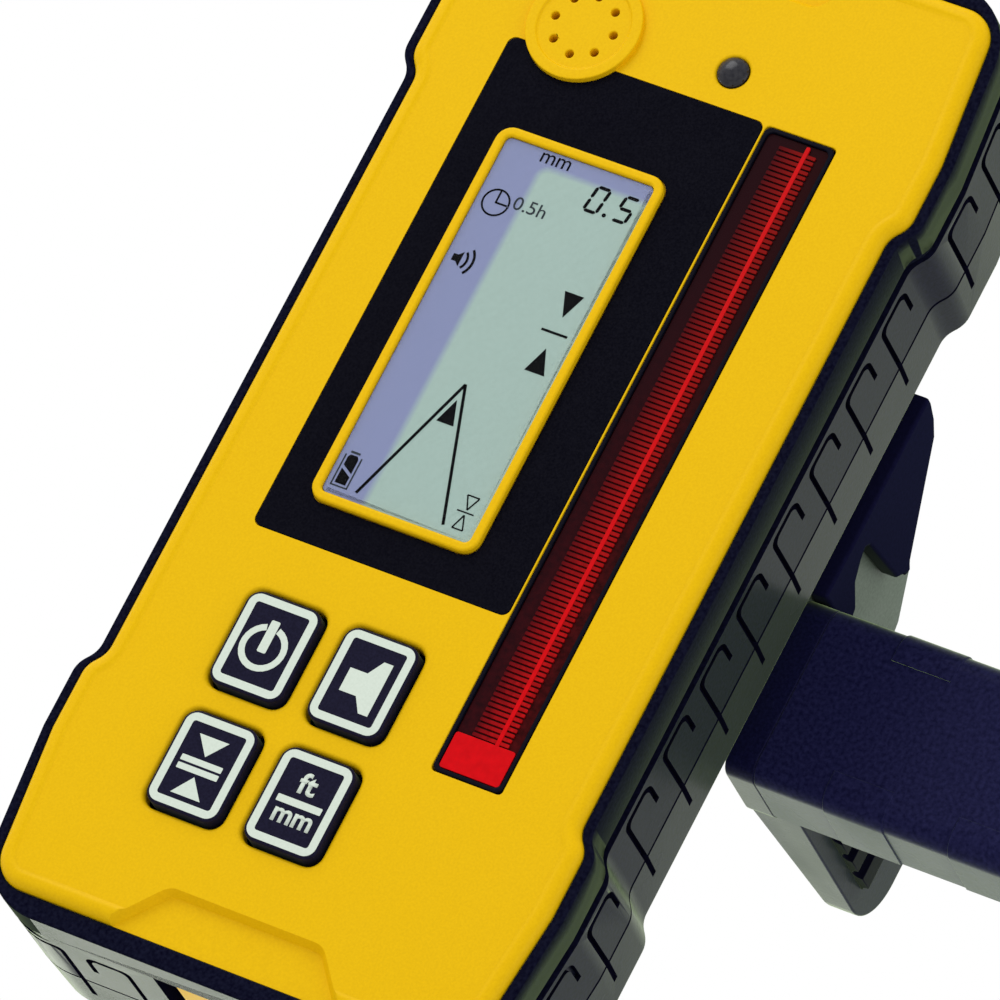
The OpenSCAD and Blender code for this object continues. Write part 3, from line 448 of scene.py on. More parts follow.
def display_face():
    """Grey-green field with a lilac painted shadow of the rim along its left side and its top."""
    material = moulded("display_face", (0.385, 0.53, 0.48), (0.365, 0.505, 0.455), 0.35, 0.6, 0.001, 0.3)
    socket, field = colour_of(material)
    x, z = place_of(material)
    left = maths(material, "SUBTRACT", (FIELD_X + FIELD_CORNER) * MM, x)
    above = maths(material, "SUBTRACT", z, (MID_Z + FIELD_V - FIELD_CORNER) * MM)
    squares = [maths(material, "POWER", maths(material, "MAXIMUM", way, 0.0), 2.0) for way in (left, above)]
    distance = maths(material, "SQRT", maths(material, "ADD", *squares), 0.0)
    edge = ((FIELD_CORNER - FIELD_SOFTNESS) * MM, (FIELD_CORNER + FIELD_SOFTNESS) * MM)
    # The lilac is painted shadow: the shade that the rim casts on the sunken display.
    painted_shadow = spread_of(material, distance, *edge, 0, 1)
    material.node_tree.links.new(blend_of(material, painted_shadow, field, PAINTED_SHADOW_LILAC), socket)
    return material


def clear_cover():
    """Clear plastic over the display: almost nothing but its gloss."""
    material = moulded("clear_cover", (0.12, 0.13, 0.13), (0.10, 0.11, 0.11), 0.12, 2.0, 0.0005, 0.3)
    material.node_tree.nodes["Principled BSDF"].inputs["Alpha"].default_value = COVER_ALPHA
    return material


def fading_red(name, top, foot, grain, contrast, shade):
    """Clear red over a dark ground: blotchy, and darker towards the top and the left of the window."""
    material = moulded(name, foot, tuple(c * contrast for c in foot), 0.3, grain, 0.003, 0.03)
    socket, bright = colour_of(material)
    x, z = place_of(material)
    rise = spread_of(material, z, (MID_Z + FADE_V[0]) * MM, (MID_Z + FADE_V[1]) * MM, 0, 1)
    across = spread_of(material, x, FADE_X[0] * MM, FADE_X[1] * MM, shade, 0)
    faded = blend_of(material, rise, bright, top)
    material.node_tree.links.new(blend_of(material, across, faded, LENS_DARK), socket)
    return material


finishes["display_face"] = display_face()
finishes["clear_cover"] = clear_cover()
for name, values in REDS.items():
    finishes[name] = fading_red(name, *values)
print("display, cover and", len(REDS), "reds added")

# %% [markdown]
# ### Metals
#
# Turned and rolled metal shows fine lines. A noise that is stretched along one axis gives them, in the
# colour, the gloss and the relief.

# %% Metal finishes
LINE_SCALE, LINE_DETAIL, LINE_SWING = 2500, 3.0, 0.08
LINE_STRENGTH, LINE_RELIEF = 0.5, 0.01
METALS = {
    # light tone, dark tone, roughness, scale of the noise along X, Y and Z
    "steel": ((0.52, 0.52, 0.51), (0.36, 0.36, 0.36), 0.3, (0.08, 1, 1)),
    "brass": ((0.80, 0.62, 0.28), (0.66, 0.48, 0.2), 0.32, (1, 1, 0.1)),
    "cell_jacket": ((0.17, 0.17, 0.18), (0.11, 0.11, 0.12), 0.35, (1, 1, 0.05)),
}


def drawn_metal(name, light, dark, roughness, stretch):
    """Metal with fine lines along the axis whose scale is small."""
    material = bpy.data.materials.new(name)
    material.use_nodes = True
    links = material.node_tree.links
    material.node_tree.nodes["Principled BSDF"].inputs["Metallic"].default_value = 1
    where = node_of(material, "ShaderNodeTexCoord")
    stretched = node_of(material, "ShaderNodeMapping", Scale=stretch)
    noise = node_of(material, "ShaderNodeTexNoise", Scale=LINE_SCALE, Detail=LINE_DETAIL)
    links.new(where.outputs["Object"], stretched.inputs["Vector"])
    links.new(stretched.outputs["Vector"], noise.inputs["Vector"])
    lines = noise.outputs["Fac"]
    gloss = spread_of(material, lines, *NOISE_RANGE, roughness - LINE_SWING, roughness + LINE_SWING)
    surface(material, blend_of(material, lines, dark, light), gloss, lines, LINE_STRENGTH, LINE_RELIEF)
    return material


for name, values in METALS.items():
    finishes[name] = drawn_metal(name, *values)
print(len(METALS), "metals added")

# %% [markdown]
# ### A finish for every node
#
# Every CAD node takes the finish of its slot first. Pieces that are modelled below take theirs from the
# same list.

# %% Give every CAD node its finish
FINISH_NAMES = {
    "case_yellow": "yellow_plastic", "case_dark": "case_black", "panel_black": "panel_film",
    "clear_lens": "clear_cover", "display_glass": "display_face", "window_red": "red_lens",
    "diode_dark": "smoky_dome",
}


def finish_of(node):
    """The finish of a node's slot. The slots that aren't listed above share their finish's name."""
    slot = slot_of_node[node]
    return finishes[FINISH_NAMES.get(slot, slot)]


def wear(piece, finish):
    """Give a piece one finish and nothing else."""
    piece.data.materials.clear()
    piece.data.materials.append(finish)


for node, part in frame["nodes"].items():
    wear(part, finish_of(node))
# The buzzer's face is painted red-brown: painted shade that stands for the yellow walls of the sound holes
# in shadow.
wear(frame["nodes"]["buzzer"], finishes["painted_hole_shade"])
print(len(frame["nodes"]), "nodes dressed from a list of", len(finishes), "finishes")

# %% [markdown]
# ## Softened edges
#
# No moulded edge is sharp. Where a CAD solid already has the right form, a copy of its mesh is merged into
# one skin, flat neighbours are joined, and a Bevel modifier rounds every edge that turns by more than a set
# angle. Weighted normals then keep the flats flat, so only the rounded edges catch the light.


# %% Helpers for rounding edges
MERGE_GAP, FLAT_ANGLE = 0.0005, 0.6


def apply_all(piece):
    """Apply the piece's modifiers in order."""
    pick(piece)
    for modifier in list(piece.modifiers):
        bpy.ops.object.modifier_apply(modifier=modifier.name)


def round_edges(piece, width, segments=3, angle=35):
    """Round every edge that turns by more than this angle, by a width in mm."""
    bevel = piece.modifiers.new("round", "BEVEL")
    bevel.limit_method = "ANGLE"
    bevel.angle_limit = math.radians(angle)
    bevel.width = width * MM
    bevel.segments = segments
    bevel.use_clamp_overlap = False
    apply_all(piece)


def smooth(piece, angle=40):
    """Smooth the rounded edges and keep the flats flat."""
    pick(piece)
    bpy.ops.object.shade_smooth_by_angle(angle=math.radians(angle))
    weighted = piece.modifiers.new("flats", "WEIGHTED_NORMAL")
    weighted.keep_sharp = True
    apply_all(piece)


def merged_copy(node):
    """A copy of a CAD node's mesh as one skin, with flat neighbours joined."""
    piece = bpy.data.objects.new(node + "_copy", frame["nodes"][node].data.copy())
    scene.collection.objects.link(piece)
    enter(piece)
    bpy.ops.mesh.remove_doubles(threshold=MERGE_GAP * MM)
    bpy.ops.mesh.dissolve_limited(angle_limit=math.radians(FLAT_ANGLE))
    leave()
    return piece


def round_edges_where(piece, wanted, width, segments=4, angle=30):
    """Round only the sharp edges whose two ends pass a test together, by a width in mm."""
    enter(piece, "DESELECT")
    bpy.ops.mesh.select_mode(type="EDGE")
    bpy.ops.mesh.edges_select_sharp(sharpness=math.radians(angle))
    leave()
    piece.data.polygons.foreach_set("select", [False] * len(piece.data.polygons))
    for edge in piece.data.edges:
        if not wanted(*[piece.data.vertices[i].co / MM for i in edge.vertices]):
            edge.select = False
    bpy.ops.object.mode_set(mode="EDIT")
    bpy.ops.mesh.bevel(offset=width * MM, segments=segments, affect="EDGES")
    leave()


def stand_in(piece, node, name, finish=None, angle=40):
    """Smooth a new or reshaped piece, give it its finish and let it stand in for a CAD node."""
    smooth(piece, angle)
    wear(piece, finish or finish_of(node))
    return close_piece(piece, name, body_of_node[node], (node,))


def softened(node, width, finish=None):
    """A copy of a CAD node with rounded edges that stands in for it."""
    piece = merged_copy(node)
    round_edges(piece, width)
    return stand_in(piece, node, "soft_" + node, finish)


# %% [markdown]
# ### Armour
#
# The armour keeps its CAD form. Its many grooves meet at odd angles, where a bevel all over would fold, so
# only chosen edges are rounded: the front of the lip, the back edge of the rear half, and the short edges
# that stand in the corners of the hooked grooves. They are picked by their depth, their direction and their
# length. The walls and floors of the grooves get a darker finish without sheen or gloss: painted shade where
# the grooves lie in shadow. The band of the lip gets a duller copy of the armour's rubber: painted shade.

# %% Soften the armour
LIP_ROUND, REAR_ROUND, HOOK_ROUND, GROOVE_DEPTH = 0.42, 0.6, 1.2, 0.8
HOOK_Y, HOOK_STEPS, HOOK_ANGLE = (4.0, 6.0), 5, 22
SIDE_X, LIP_END_Y, WALL_TILT = 34.0, 2.2, 0.35
SAME, NEAR, LENGTH_SPARE = 0.01, 0.02, 0.05
SHADED_GROOVE_SLOT, SHADED_LIP_SLOT = 1, 2
rear_end_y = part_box("bumper_rear")[1].y / MM
FRONT_GROOVES = (4.3, JOINT_Y - 0.2)
REAR_GROOVES = (JOINT_Y + 0.7, rear_end_y - 1)


def at_depth(y):
    """A test for edges that lie at one depth."""
    return lambda a, b: max(abs(a.y - y), abs(b.y - y)) < SAME


def hook_corner(a, b):
    """True for an edge that stands in the front corner of a hooked groove, straight down into the rubber."""
    level = HOOK_Y[0] < a.y < HOOK_Y[1] and abs(a.y - b.y) < NEAR
    straight = min(abs(a.x - b.x), abs(a.z - b.z)) < NEAR
    return level and straight and abs((a - b).length - GROOVE_DEPTH) < LENGTH_SPARE


def outward_of(vector, place):
    """How far a vector points out of the case at a place: across on the long sides, along at the tips."""
    if abs(place.x) > SIDE_X * MM:
        return math.copysign(vector.x, vector.x * place.x)
    return math.copysign(vector.z, vector.z * (place.z - MID_Z * MM))


def shade_grooves(piece, first_y, last_y):
    """Give the walls and floors of the hooked grooves between two depths a darker finish: painted shade."""
    piece.data.materials.append(finishes["painted_groove_shade"])
    faces = [face for face in piece.data.polygons if first_y < face.center.y / MM < last_y]
    walls = {}
    for face in faces:
        if abs(outward_of(face.normal, face.center)) < WALL_TILT:
            face.material_index = SHADED_GROOVE_SLOT
            for key in face.edge_keys:
                walls.setdefault(key, []).append(face.center)
    for face in faces:
        beside = [centre for key in face.edge_keys for centre in walls.get(key, ())]
        rises = [outward_of(centre - face.center, face.center) for centre in beside]
        if len(rises) > 2 and min(rises) > 0:
            face.material_index = SHADED_GROOVE_SLOT


def shade_lip_band(piece):
    """Give the band in front of the armour's long groove a duller copy of the armour's rubber: painted
    shade.
    """
    piece.data.materials.append(finishes["shaded_lip_rubber"])
    for face in piece.data.polygons:
        if face.center.y / MM < LIP_END_Y:
            face.material_index = SHADED_LIP_SLOT


front_armour = merged_copy("bumper_front")
round_edges_where(front_armour, hook_corner, HOOK_ROUND, HOOK_STEPS, HOOK_ANGLE)
round_edges_where(front_armour, at_depth(LIP_Y), LIP_ROUND)
stand_in(front_armour, "bumper_front", "soft_bumper_front")
shade_grooves(front_armour, *FRONT_GROOVES)
shade_lip_band(front_armour)
rear_armour = merged_copy("bumper_rear")
round_edges_where(rear_armour, at_depth(rear_end_y), REAR_ROUND)
stand_in(rear_armour, "bumper_rear", "soft_bumper_rear")
shade_grooves(rear_armour, *REAR_GROOVES)

# %% [markdown]
# ### Grip on the beam
#
# The sleeve of rubber on the beam has round corners, and its raised pads wrap round them. So the pads'
# corner edges are rounded first, and then every edge gets a very narrow one.

# %% Wrap the pads round the grip
PAD_CORNER, PAD_STEPS, PAD_EDGE, PAD_EDGE_STEPS = 3.1, 8, 0.1, 2
grip_low, grip_high = (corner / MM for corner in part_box("beam_grip"))


def pad_corner(a, b):
    """True for an edge that runs along the front corners of the raised pads."""
    front = at_depth(grip_low.y)(a, b)
    return front and any(max(abs(a.z - z), abs(b.z - z)) < SAME for z in (grip_low.z, grip_high.z))


grip = merged_copy("beam_grip")
round_edges_where(grip, pad_corner, PAD_CORNER, PAD_STEPS)
round_edges(grip, PAD_EDGE, PAD_EDGE_STEPS)
stand_in(grip, "beam_grip", "soft_beam_grip", finishes["grip_rubber"])

# %% [markdown]
# ### Clamp, back and small parts
#
# The other pieces that keep their form are rounded along every sharp edge. Where many edges meet at odd
# angles, as on the cover, the door and the bracket, a wide rounding would fold, so those get a narrow one.
# Thin trim gets hardly any.

# %% Soften the pieces that keep their form
ROUNDING = {
    "rear_cover": 0.15, "battery_door": 0.15, "clamp_bracket": 0.06, "clamp_beam": 0.3,
    "fixed_pad": 0.15, "moving_pad": 0.15, "moving_jaw": 0.6,
    "screw_collar": 0.2, "knob_pin": 0.2, "window_frame": 0.15, "status_dome": 0.1,
    "case_gasket": 0.1, "lcd_glass": 0.1, "lcd_lens": 0.1,
}
COVER_ROUND = 0.5
for node, width in ROUNDING.items():
    softened(node, width)
softened("bracket_cover", COVER_ROUND, finishes["cover_black"])

# %% [markdown]
# ### Knob
#
# A bevel would fold on the knob's flutes, so the knob is made anew. A circle takes the fluted outline, in
# which a soft minimum rounds the lips beside each flute, and is pulled along X ring by ring. The rings near
# both ends are then scaled down, each by what a round end of that radius takes away.

# %% Make the fluted knob
FLUTES, FLUTE_STEPS, FLUTE_R, FLUTE_CUT = 9, 32, 3.4, 1.3
KNOB_R, LIP_SOFT, KNOB_ROUND, END_STEPS = 12.5, 0.5, 1.5, 5
knob_low, knob_high = (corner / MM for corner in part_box("clamp_knob"))
screw_low, screw_high = (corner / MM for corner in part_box("lead_screw"))
screw_y, screw_z = (screw_low.y + screw_high.y) / 2, (screw_low.z + screw_high.z) / 2


def knob_radius(angle):
    """Radius of the knob at an angle: its rim or the nearest flute, whichever lies further in."""
    pitch = 2 * math.pi / FLUTES
    off = (angle + pitch / 2) % pitch - pitch / 2
    reach = KNOB_R + FLUTE_R - FLUTE_CUT
    under = FLUTE_R ** 2 - (reach * math.sin(off)) ** 2
    if under < 0:
        return KNOB_R
    flute = reach * math.cos(off) - math.sqrt(under)
    near = max(LIP_SOFT - abs(KNOB_R - flute), 0)
    return min(KNOB_R, flute) - near ** 2 / (4 * LIP_SOFT)


def end_scale(x):
    """How much narrower the knob is at a place along X, because its ends are round."""
    depth = min(x - knob_low.x, knob_high.x - x, KNOB_ROUND)
    lost = KNOB_ROUND - math.sqrt(max(KNOB_ROUND ** 2 - (KNOB_ROUND - depth) ** 2, 0))
    return 1 - lost / KNOB_R


end_depths = [KNOB_ROUND * (1 - math.cos(math.pi / 2 * i / END_STEPS)) for i in range(END_STEPS + 1)]
rings = [knob_low.x + d for d in end_depths] + [knob_high.x - d for d in reversed(end_depths)]
knob = ring_of(FLUTES * FLUTE_STEPS)
for i, corner in enumerate(knob.data.vertices):
    angle = 2 * math.pi * i / (FLUTES * FLUTE_STEPS)
    r = knob_radius(angle) * MM
    corner.co = (rings[0] * MM, r * math.sin(angle), r * math.cos(angle))
pulled(knob, *[((ring - last) * MM, 0, 0) for last, ring in zip(rings, rings[1:])])
for corner in knob.data.vertices:
    scale = end_scale(corner.co.x / MM)
    corner.co.y *= scale
    corner.co.z *= scale
knob.location = (0, screw_y * MM, screw_z * MM)
stand_in(knob, "clamp_knob", "fluted_knob")

# %% [markdown]
# ### Panel
#
# The black film round the display runs close up to the window. So the points at the right side of a copy of
# the panel move out a little, corners and all.

# %% Let the panel's film reach closer to the window
PANEL_REACH, PANEL_R, PANEL_EDGE, CORNER_SPARE = 0.45, 1.2, 0.08, 0.1
panel = merged_copy("label_panel")
panel_right = face_box("label_panel")[1] - PANEL_R - CORNER_SPARE
for corner in panel.data.vertices:
    if corner.co.x / MM > panel_right:
        corner.co.x += PANEL_REACH * MM
round_edges(panel, PANEL_EDGE)
stand_in(panel, "label_panel", "soft_label_panel")

# %% [markdown]
# ## The yellow face plate
#
# The face plate is one moulding. Its outline is narrow along the waist and wider at both ends, with a
# rounded step between. The outline is laid out once by the same rules as the CAD part: a circle primitive
# with enough points is moved onto it and pulled into a slab. The face is sunk a little inside a border, the
# long front edge is rounded, and the openings are cut with booleans.

# %% Lay out the outline of the case
CASE_L, WAIST_W, END_W, TIP_W = 158.0, 72.0, 76.0, 71.4
END_RUN, FLARE_RUN, STEP_RUN, TIP_R = 34.0, 22.0, 2.5, 5.0
TIP_STEPS, STEP_STEPS, STEP_SHARE = 12, 6, 0.4


def quarter_outline(grow):
    """The upper right quarter of the outline, grown by an amount, from the tip to the waist."""
    lean = math.atan2(END_W - TIP_W, 2 * (FLARE_RUN + grow))
    r = TIP_R + grow
    centre_x = TIP_W / 2 + grow + r * math.tan(lean) - r / math.cos(lean)
    tip = arc(centre_x, CASE_L / 2 + grow - r, r, 90, math.degrees(lean), TIP_STEPS)
    slope = math.atan2((END_W - WAIST_W) / 2, STEP_RUN)
    reach = STEP_SHARE * math.hypot((END_W - WAIST_W) / 2, STEP_RUN)
    step_r = reach / math.tan(slope / 2)
    swing = math.degrees(slope)
    foot_v = CASE_L / 2 - END_RUN - reach
    top_v = foot_v + STEP_RUN + 2 * reach
    out = arc(END_W / 2 + grow - step_r, top_v, step_r, 0, -swing, STEP_STEPS)
    back = arc(WAIST_W / 2 + grow + step_r, foot_v, step_r, 180 - swing, 180, STEP_STEPS)
    return tip + [(END_W / 2 + grow, CASE_L / 2 - FLARE_RUN)] + out + back


def case_outline(grow=0.0):
    """The whole outline, quarter by quarter."""
    upper = quarter_outline(grow)
    right = upper + [(x, -v) for x, v in reversed(upper)]
    return right + [(-x, v) for x, v in reversed(right)]


print("outline has", len(case_outline()), "points")


# %% Helpers for slabs and cuts
def slab(points, front, back):
    """A closed slab with this outline on the face, from one depth to another."""
    piece = ring_of(len(points))
    for corner, (x, v) in zip(piece.data.vertices, points):
        corner.co = (x * MM, front * MM, (MID_Z + v) * MM)
    return pulled(piece, (0, (back - front) * MM, 0))


def rounded(low_x, high_x, low_v, high_v, r, steps=6):
    """Outline of a rectangle with rounded corners."""
    upper = arc(high_x - r, high_v - r, r, 0, 90, steps) + arc(low_x + r, high_v - r, r, 90, 180, steps)
    lower = arc(low_x + r, low_v + r, r, 180, 270, steps) + arc(high_x - r, low_v + r, r, 270, 360, steps)
    return upper + lower


def ring_points(x, v, r, count=32):
    """Outline of a circle."""
    return arc(x, v, r, 0, 360, count)[:-1]


def cylinder(place, r, length, axis, sides):
    """A cylinder round a place, along X or Y, in mm."""
    turn = (0, math.pi / 2, 0) if axis == "X" else (math.pi / 2, 0, 0)
    bpy.ops.object.select_all(action="DESELECT")
    bpy.ops.mesh.primitive_cylinder_add(
        vertices=sides, radius=r * MM, depth=length * MM, rotation=turn, location=place * MM)
    bpy.ops.object.transform_apply(location=True, rotation=True, scale=True)
    return bpy.context.object


def cut(piece, *cutters):
    """Cut other pieces out of a piece and throw the cutters away."""
    for cutter in cutters:
        boolean = piece.modifiers.new("cut", "BOOLEAN")
        boolean.operation = "DIFFERENCE"
        boolean.solver = "EXACT"
        boolean.object = cutter
    apply_all(piece)
    for cutter in cutters:
        bpy.data.objects.remove(cutter)


def join(first, *others):
    """Join pieces into the first one."""
    pick(first)
    for other in others:
        other.select_set(True)
    bpy.ops.object.join()
    return first


# %% [markdown]
# ### Openings and recesses
#
# The panel lies in a shallow recess, and the display, the window, the keys and the dome look through
# openings. At each tip a low recess with sloping walls runs out over the edge. The openings of the window,
# the dome and the keys and the recesses at the tips have no sharp edge.
# The cutters see to that: the back face of a slab is inset again and again, first hardly deeper and then
# steeply, so the cutter is wide at the face and leaves a rounded rim behind.

# %% Cutters that leave a rounded rim
OVER, FACING = 1.0, 0.9


def grown(box, amount):
    """A face box grown by an amount on all sides."""
    return box[0] - amount, box[1] + amount, box[2] - amount, box[3] + amount


def through(points):
    """A cutter with this outline right through the face plate."""
    return slab(points, RIM_Y - OVER, FLANGE_Y + OVER)


def pick_faces(piece, wanted):
    """Go into edit mode with only the faces selected that pass a test."""
    enter(piece, "DESELECT")
    bpy.ops.mesh.select_mode(type="FACE")
    leave()
    for face in piece.data.polygons:
        face.select = wanted(face)
    bpy.ops.object.mode_set(mode="EDIT")


def flared(points, rim_r, depth, slope=90, steps=5, top=FACE_Y):
    """A cutter from a level down to a depth, whose wall slopes and whose rim is rounded by a radius."""
    cutter = slab(points, top - OVER, top)
    pick_faces(cutter, lambda face: face.normal.y > FACING)
    turns = [math.radians(slope) * i / steps for i in range(steps + 1)]
    for last, turn in zip(turns, turns[1:]):
        inwards = rim_r * (math.sin(turn) - math.sin(last))
        bpy.ops.mesh.inset(thickness=inwards * MM, depth=rim_r * (math.cos(last) - math.cos(turn)) * MM)
    rest = depth - rim_r * (1 - math.cos(turns[-1]))
    if slope < 90:
        bpy.ops.mesh.inset(thickness=rest / math.tan(turns[-1]) * MM, depth=rest * MM)
    else:
        bpy.ops.mesh.extrude_region_move(TRANSFORM_OT_translate={"value": (0, rest * MM, 0)})
    leave()
    return cutter


# %% Outline of the recess at a tip
RECESS_DEPTH, RECESS_SLOPE, RECESS_RIM, RECESS_CORNER = 1.3, 58, 0.4, 3.0
RECESS_TOP_X, RECESS_FOOT_X, RECESS_RUN, RECESS_PAST = 11.8, 23.6, 7.8, 6.0
EDGE_R, EDGE_STEPS, BORDER_W, BORDER_SLOPE, BORDER_H = 1.7, 6, 2.1, 0.5, 0.25


def with_round_corners(points, r, steps=6):
    """A polygon whose corners are arcs of this radius."""
    outline = []
    for before, corner, after in zip(points[-1:] + points[:-1], points, points[1:] + points[:1]):
        corner = Vector(corner)
        back = (Vector(before) - corner).normalized()
        on = (Vector(after) - corner).normalized()
        half = back.angle(on) / 2
        centre = corner + (back + on).normalized() * r / math.sin(half)
        spoke = corner + back * r / math.tan(half) - centre
        sweep = math.copysign(math.pi - 2 * half, on.x * back.y - on.y * back.x)
        outline += [tuple(centre + Matrix.Rotation(sweep * i / steps, 2) @ spoke) for i in range(steps + 1)]
    return outline


def tip_recess(side):
    """Cutter for the recess at the upper (1) or lower (-1) tip."""
    start_v, end_v = side * (CASE_L / 2 - RECESS_RUN), side * (CASE_L / 2 + RECESS_PAST)
    wide = [(-RECESS_FOOT_X, end_v), (RECESS_FOOT_X, end_v)]
    narrow = [(RECESS_TOP_X, start_v), (-RECESS_TOP_X, start_v)]
    points = with_round_corners(wide + narrow, RECESS_CORNER)
    return flared(points, RECESS_RIM, RECESS_DEPTH + BORDER_H, RECESS_SLOPE, top=FACE_Y - BORDER_H)


# %% Cut the face plate
PANEL_GAP, KEY_GAP, HOLE_GAP = 0.1, 0.4, 0.05
LCD_R, WINDOW_R, KEY_R = 0.9, 0.8, 2.0
FRAME_LIP, DOME_FLANGE = 0.8, 0.9
KEY_RIM, WINDOW_RIM, DOME_RIM = 0.7, 0.2, 0.5
KEY_MARGINS = (1.56, 1.08, 1.16, 1.48)
PANEL_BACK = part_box("label_panel")[1].y / MM
KEYS = ("key_power", "key_sound", "key_accuracy", "key_units")


def cap_box(key):
    """Face box of the cap of a key, which is smaller than the key's foot behind the plate."""
    left, right, foot, top = KEY_MARGINS
    low_x, high_x, low_v, high_v = face_box(key)
    return low_x + left, high_x - right, low_v + foot, high_v - top


lcd_box = face_box("lcd_glass")
panel_box = grown(face_box("label_panel"), PANEL_GAP)
window_box = grown(face_box("window_frame"), -FRAME_LIP)
dome_box = grown(face_box("status_dome"), -DOME_FLANGE)
dome_x, dome_v = (dome_box[0] + dome_box[1]) / 2, (dome_box[2] + dome_box[3]) / 2
dome_r = (dome_box[1] - dome_box[0]) / 2
buzzer_box = face_box("buzzer")
sound_x, sound_v = (buzzer_box[0] + buzzer_box[1]) / 2, (buzzer_box[2] + buzzer_box[3]) / 2
plate_through = FLANGE_Y - FACE_Y + OVER
film_box = (panel_box[0], panel_box[1] + PANEL_REACH, *panel_box[2:])
key_holes = [rounded(*grown(cap_box(key), KEY_GAP + KEY_RIM), KEY_R + KEY_RIM) for key in KEYS]

plate = slab(case_outline(), FACE_Y - BORDER_H, FLANGE_Y)
pick_faces(plate, lambda face: face.normal.y < -FACING)
bpy.ops.mesh.inset(thickness=BORDER_W * MM, depth=0)
bpy.ops.mesh.inset(thickness=BORDER_SLOPE * MM, depth=-BORDER_H * MM)
leave()
round_edges_where(plate, at_depth(FACE_Y - BORDER_H), EDGE_R, EDGE_STEPS)
cut(
    plate,
    slab(rounded(*film_box, PANEL_R), FACE_Y - OVER, PANEL_BACK),
    through(rounded(*grown(lcd_box, HOLE_GAP), LCD_R)),
    through(ring_points(sound_x, sound_v, (buzzer_box[1] - buzzer_box[0]) / 2 - OVER)),
    flared(rounded(*grown(window_box, HOLE_GAP + WINDOW_RIM), WINDOW_R), WINDOW_RIM, plate_through),
    flared(ring_points(dome_x, dome_v, dome_r + HOLE_GAP + DOME_RIM), DOME_RIM, plate_through),
    tip_recess(1),
    tip_recess(-1),
    *[flared(hole, KEY_RIM, plate_through) for hole in key_holes],
)
stand_in(plate, "front_shell", "face_plate", angle=30)

# %% [markdown]
# ### Wall, display rim and sound boss
#
# The wall behind the plate is a ring that the rubber covers. The rim round the display and the round boss
# over the buzzer stand out of the face by almost a millimetre. The boss starts as a cylinder: its front
# face is inset twice and pushed in, which gives the raised edge ring, and eight small holes let the sound
# out.

# %% Make the shell's wall
WALL_INSET, WALL_T = 1.5, 2.0
wall = slab(case_outline(-WALL_INSET), FLANGE_Y, JOINT_Y)
cut(wall, slab(case_outline(-WALL_INSET - WALL_T), FLANGE_Y - OVER, JOINT_Y + OVER))
stand_in(wall, "front_shell", "shell_wall")

# %% Make the display rim
RIM_W, RIM_ROUND, RIM_STEPS, RIM_ANGLE = 1.4, 0.4, 4, 40
rim = slab(rounded(*grown(lcd_box, RIM_W), LCD_R + RIM_W), RIM_Y, FLANGE_Y)
cut(rim, through(rounded(*grown(lcd_box, HOLE_GAP), LCD_R)))
round_edges(rim, RIM_ROUND, RIM_STEPS, RIM_ANGLE)
stand_in(rim, "front_shell", "display_rim")

# %% Make the sound boss
SOUND_R, SOUND_RIM_W, SOUND_DISH, SOUND_SLOPE, SOUND_SIDES = 8.1, 1.5, 0.3, 0.15, 96
SOUND_RING_R, SOUND_HOLE_R, SOUND_HOLES, SOUND_HOLE_SIDES = 4.45, 0.6, 8, 20
SOUND_ROUND, SOUND_STEPS, SOUND_ANGLE = 0.18, 3, 25
sound_middle = Vector((sound_x, (RIM_Y + FLANGE_Y) / 2, MID_Z + sound_v))
boss = cylinder(sound_middle, SOUND_R, FLANGE_Y - RIM_Y, "Y", SOUND_SIDES)
pick_faces(boss, lambda face: face.normal.y < -FACING)
bpy.ops.mesh.inset(thickness=SOUND_RIM_W * MM, depth=0)
bpy.ops.mesh.inset(thickness=SOUND_SLOPE * MM, depth=-SOUND_DISH * MM)
leave()
hole_places = ring_points(sound_x, sound_v, SOUND_RING_R, SOUND_HOLES)
cut(boss, *[through(ring_points(x, v, SOUND_HOLE_R, SOUND_HOLE_SIDES)) for x, v in hole_places])
round_edges(boss, SOUND_ROUND, SOUND_STEPS, SOUND_ANGLE)
stand_in(boss, "front_shell", "sound_boss")

# %% [markdown]
# ## Screws and thread
#
# The back of the case shows screw heads, so each gets a hexagon socket: a cylinder of six sides cut into a
# copy of the screws. The lead screw moves the jaw by six millimetres a turn, which takes a thread of four
# starts. One ridge is a triangle that a Screw modifier winds along X, and four of them, each turned by a
# quarter, make the thread.

# %% Cut sockets into the screw heads
SCREW_HEADS = {
    # axis, radius of a head, width of its socket over the flats
    "case_screws": ("Y", 2.75, 2.5), "bracket_screws": ("Y", 3.5, 3.0), "beam_screws": ("X", 2.75, 2.5),
}
SOCKET_DEPTH, HEAD_SPARE, HEAD_ROUND, HEAD_STEPS = 1.4, 1, 0.12, 2


def head_places(node, axis, head_r):
    """Middles of a node's screw heads: at the back for screws along Y, at the left for screws along X."""
    low, high = (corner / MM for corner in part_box(node))
    heights = ((low.z + high.z) / 2,)
    if high.z - low.z > 2 * head_r + HEAD_SPARE:
        heights = (low.z + head_r, high.z - head_r)
    if axis == "Y":
        return [Vector((x, high.y, z)) for x in (low.x + head_r, high.x - head_r) for z in heights]
    return [Vector((low.x, (low.y + high.y) / 2, z)) for z in heights]


for node, (axis, head_r, across) in SCREW_HEADS.items():
    screws = merged_copy(node)
    places = head_places(node, axis, head_r)
    cut(screws, *[cylinder(place, across / math.sqrt(3), 2 * SOCKET_DEPTH, axis, 6) for place in places])
    round_edges(screws, HEAD_ROUND, HEAD_STEPS)
    stand_in(screws, node, "soft_" + node)

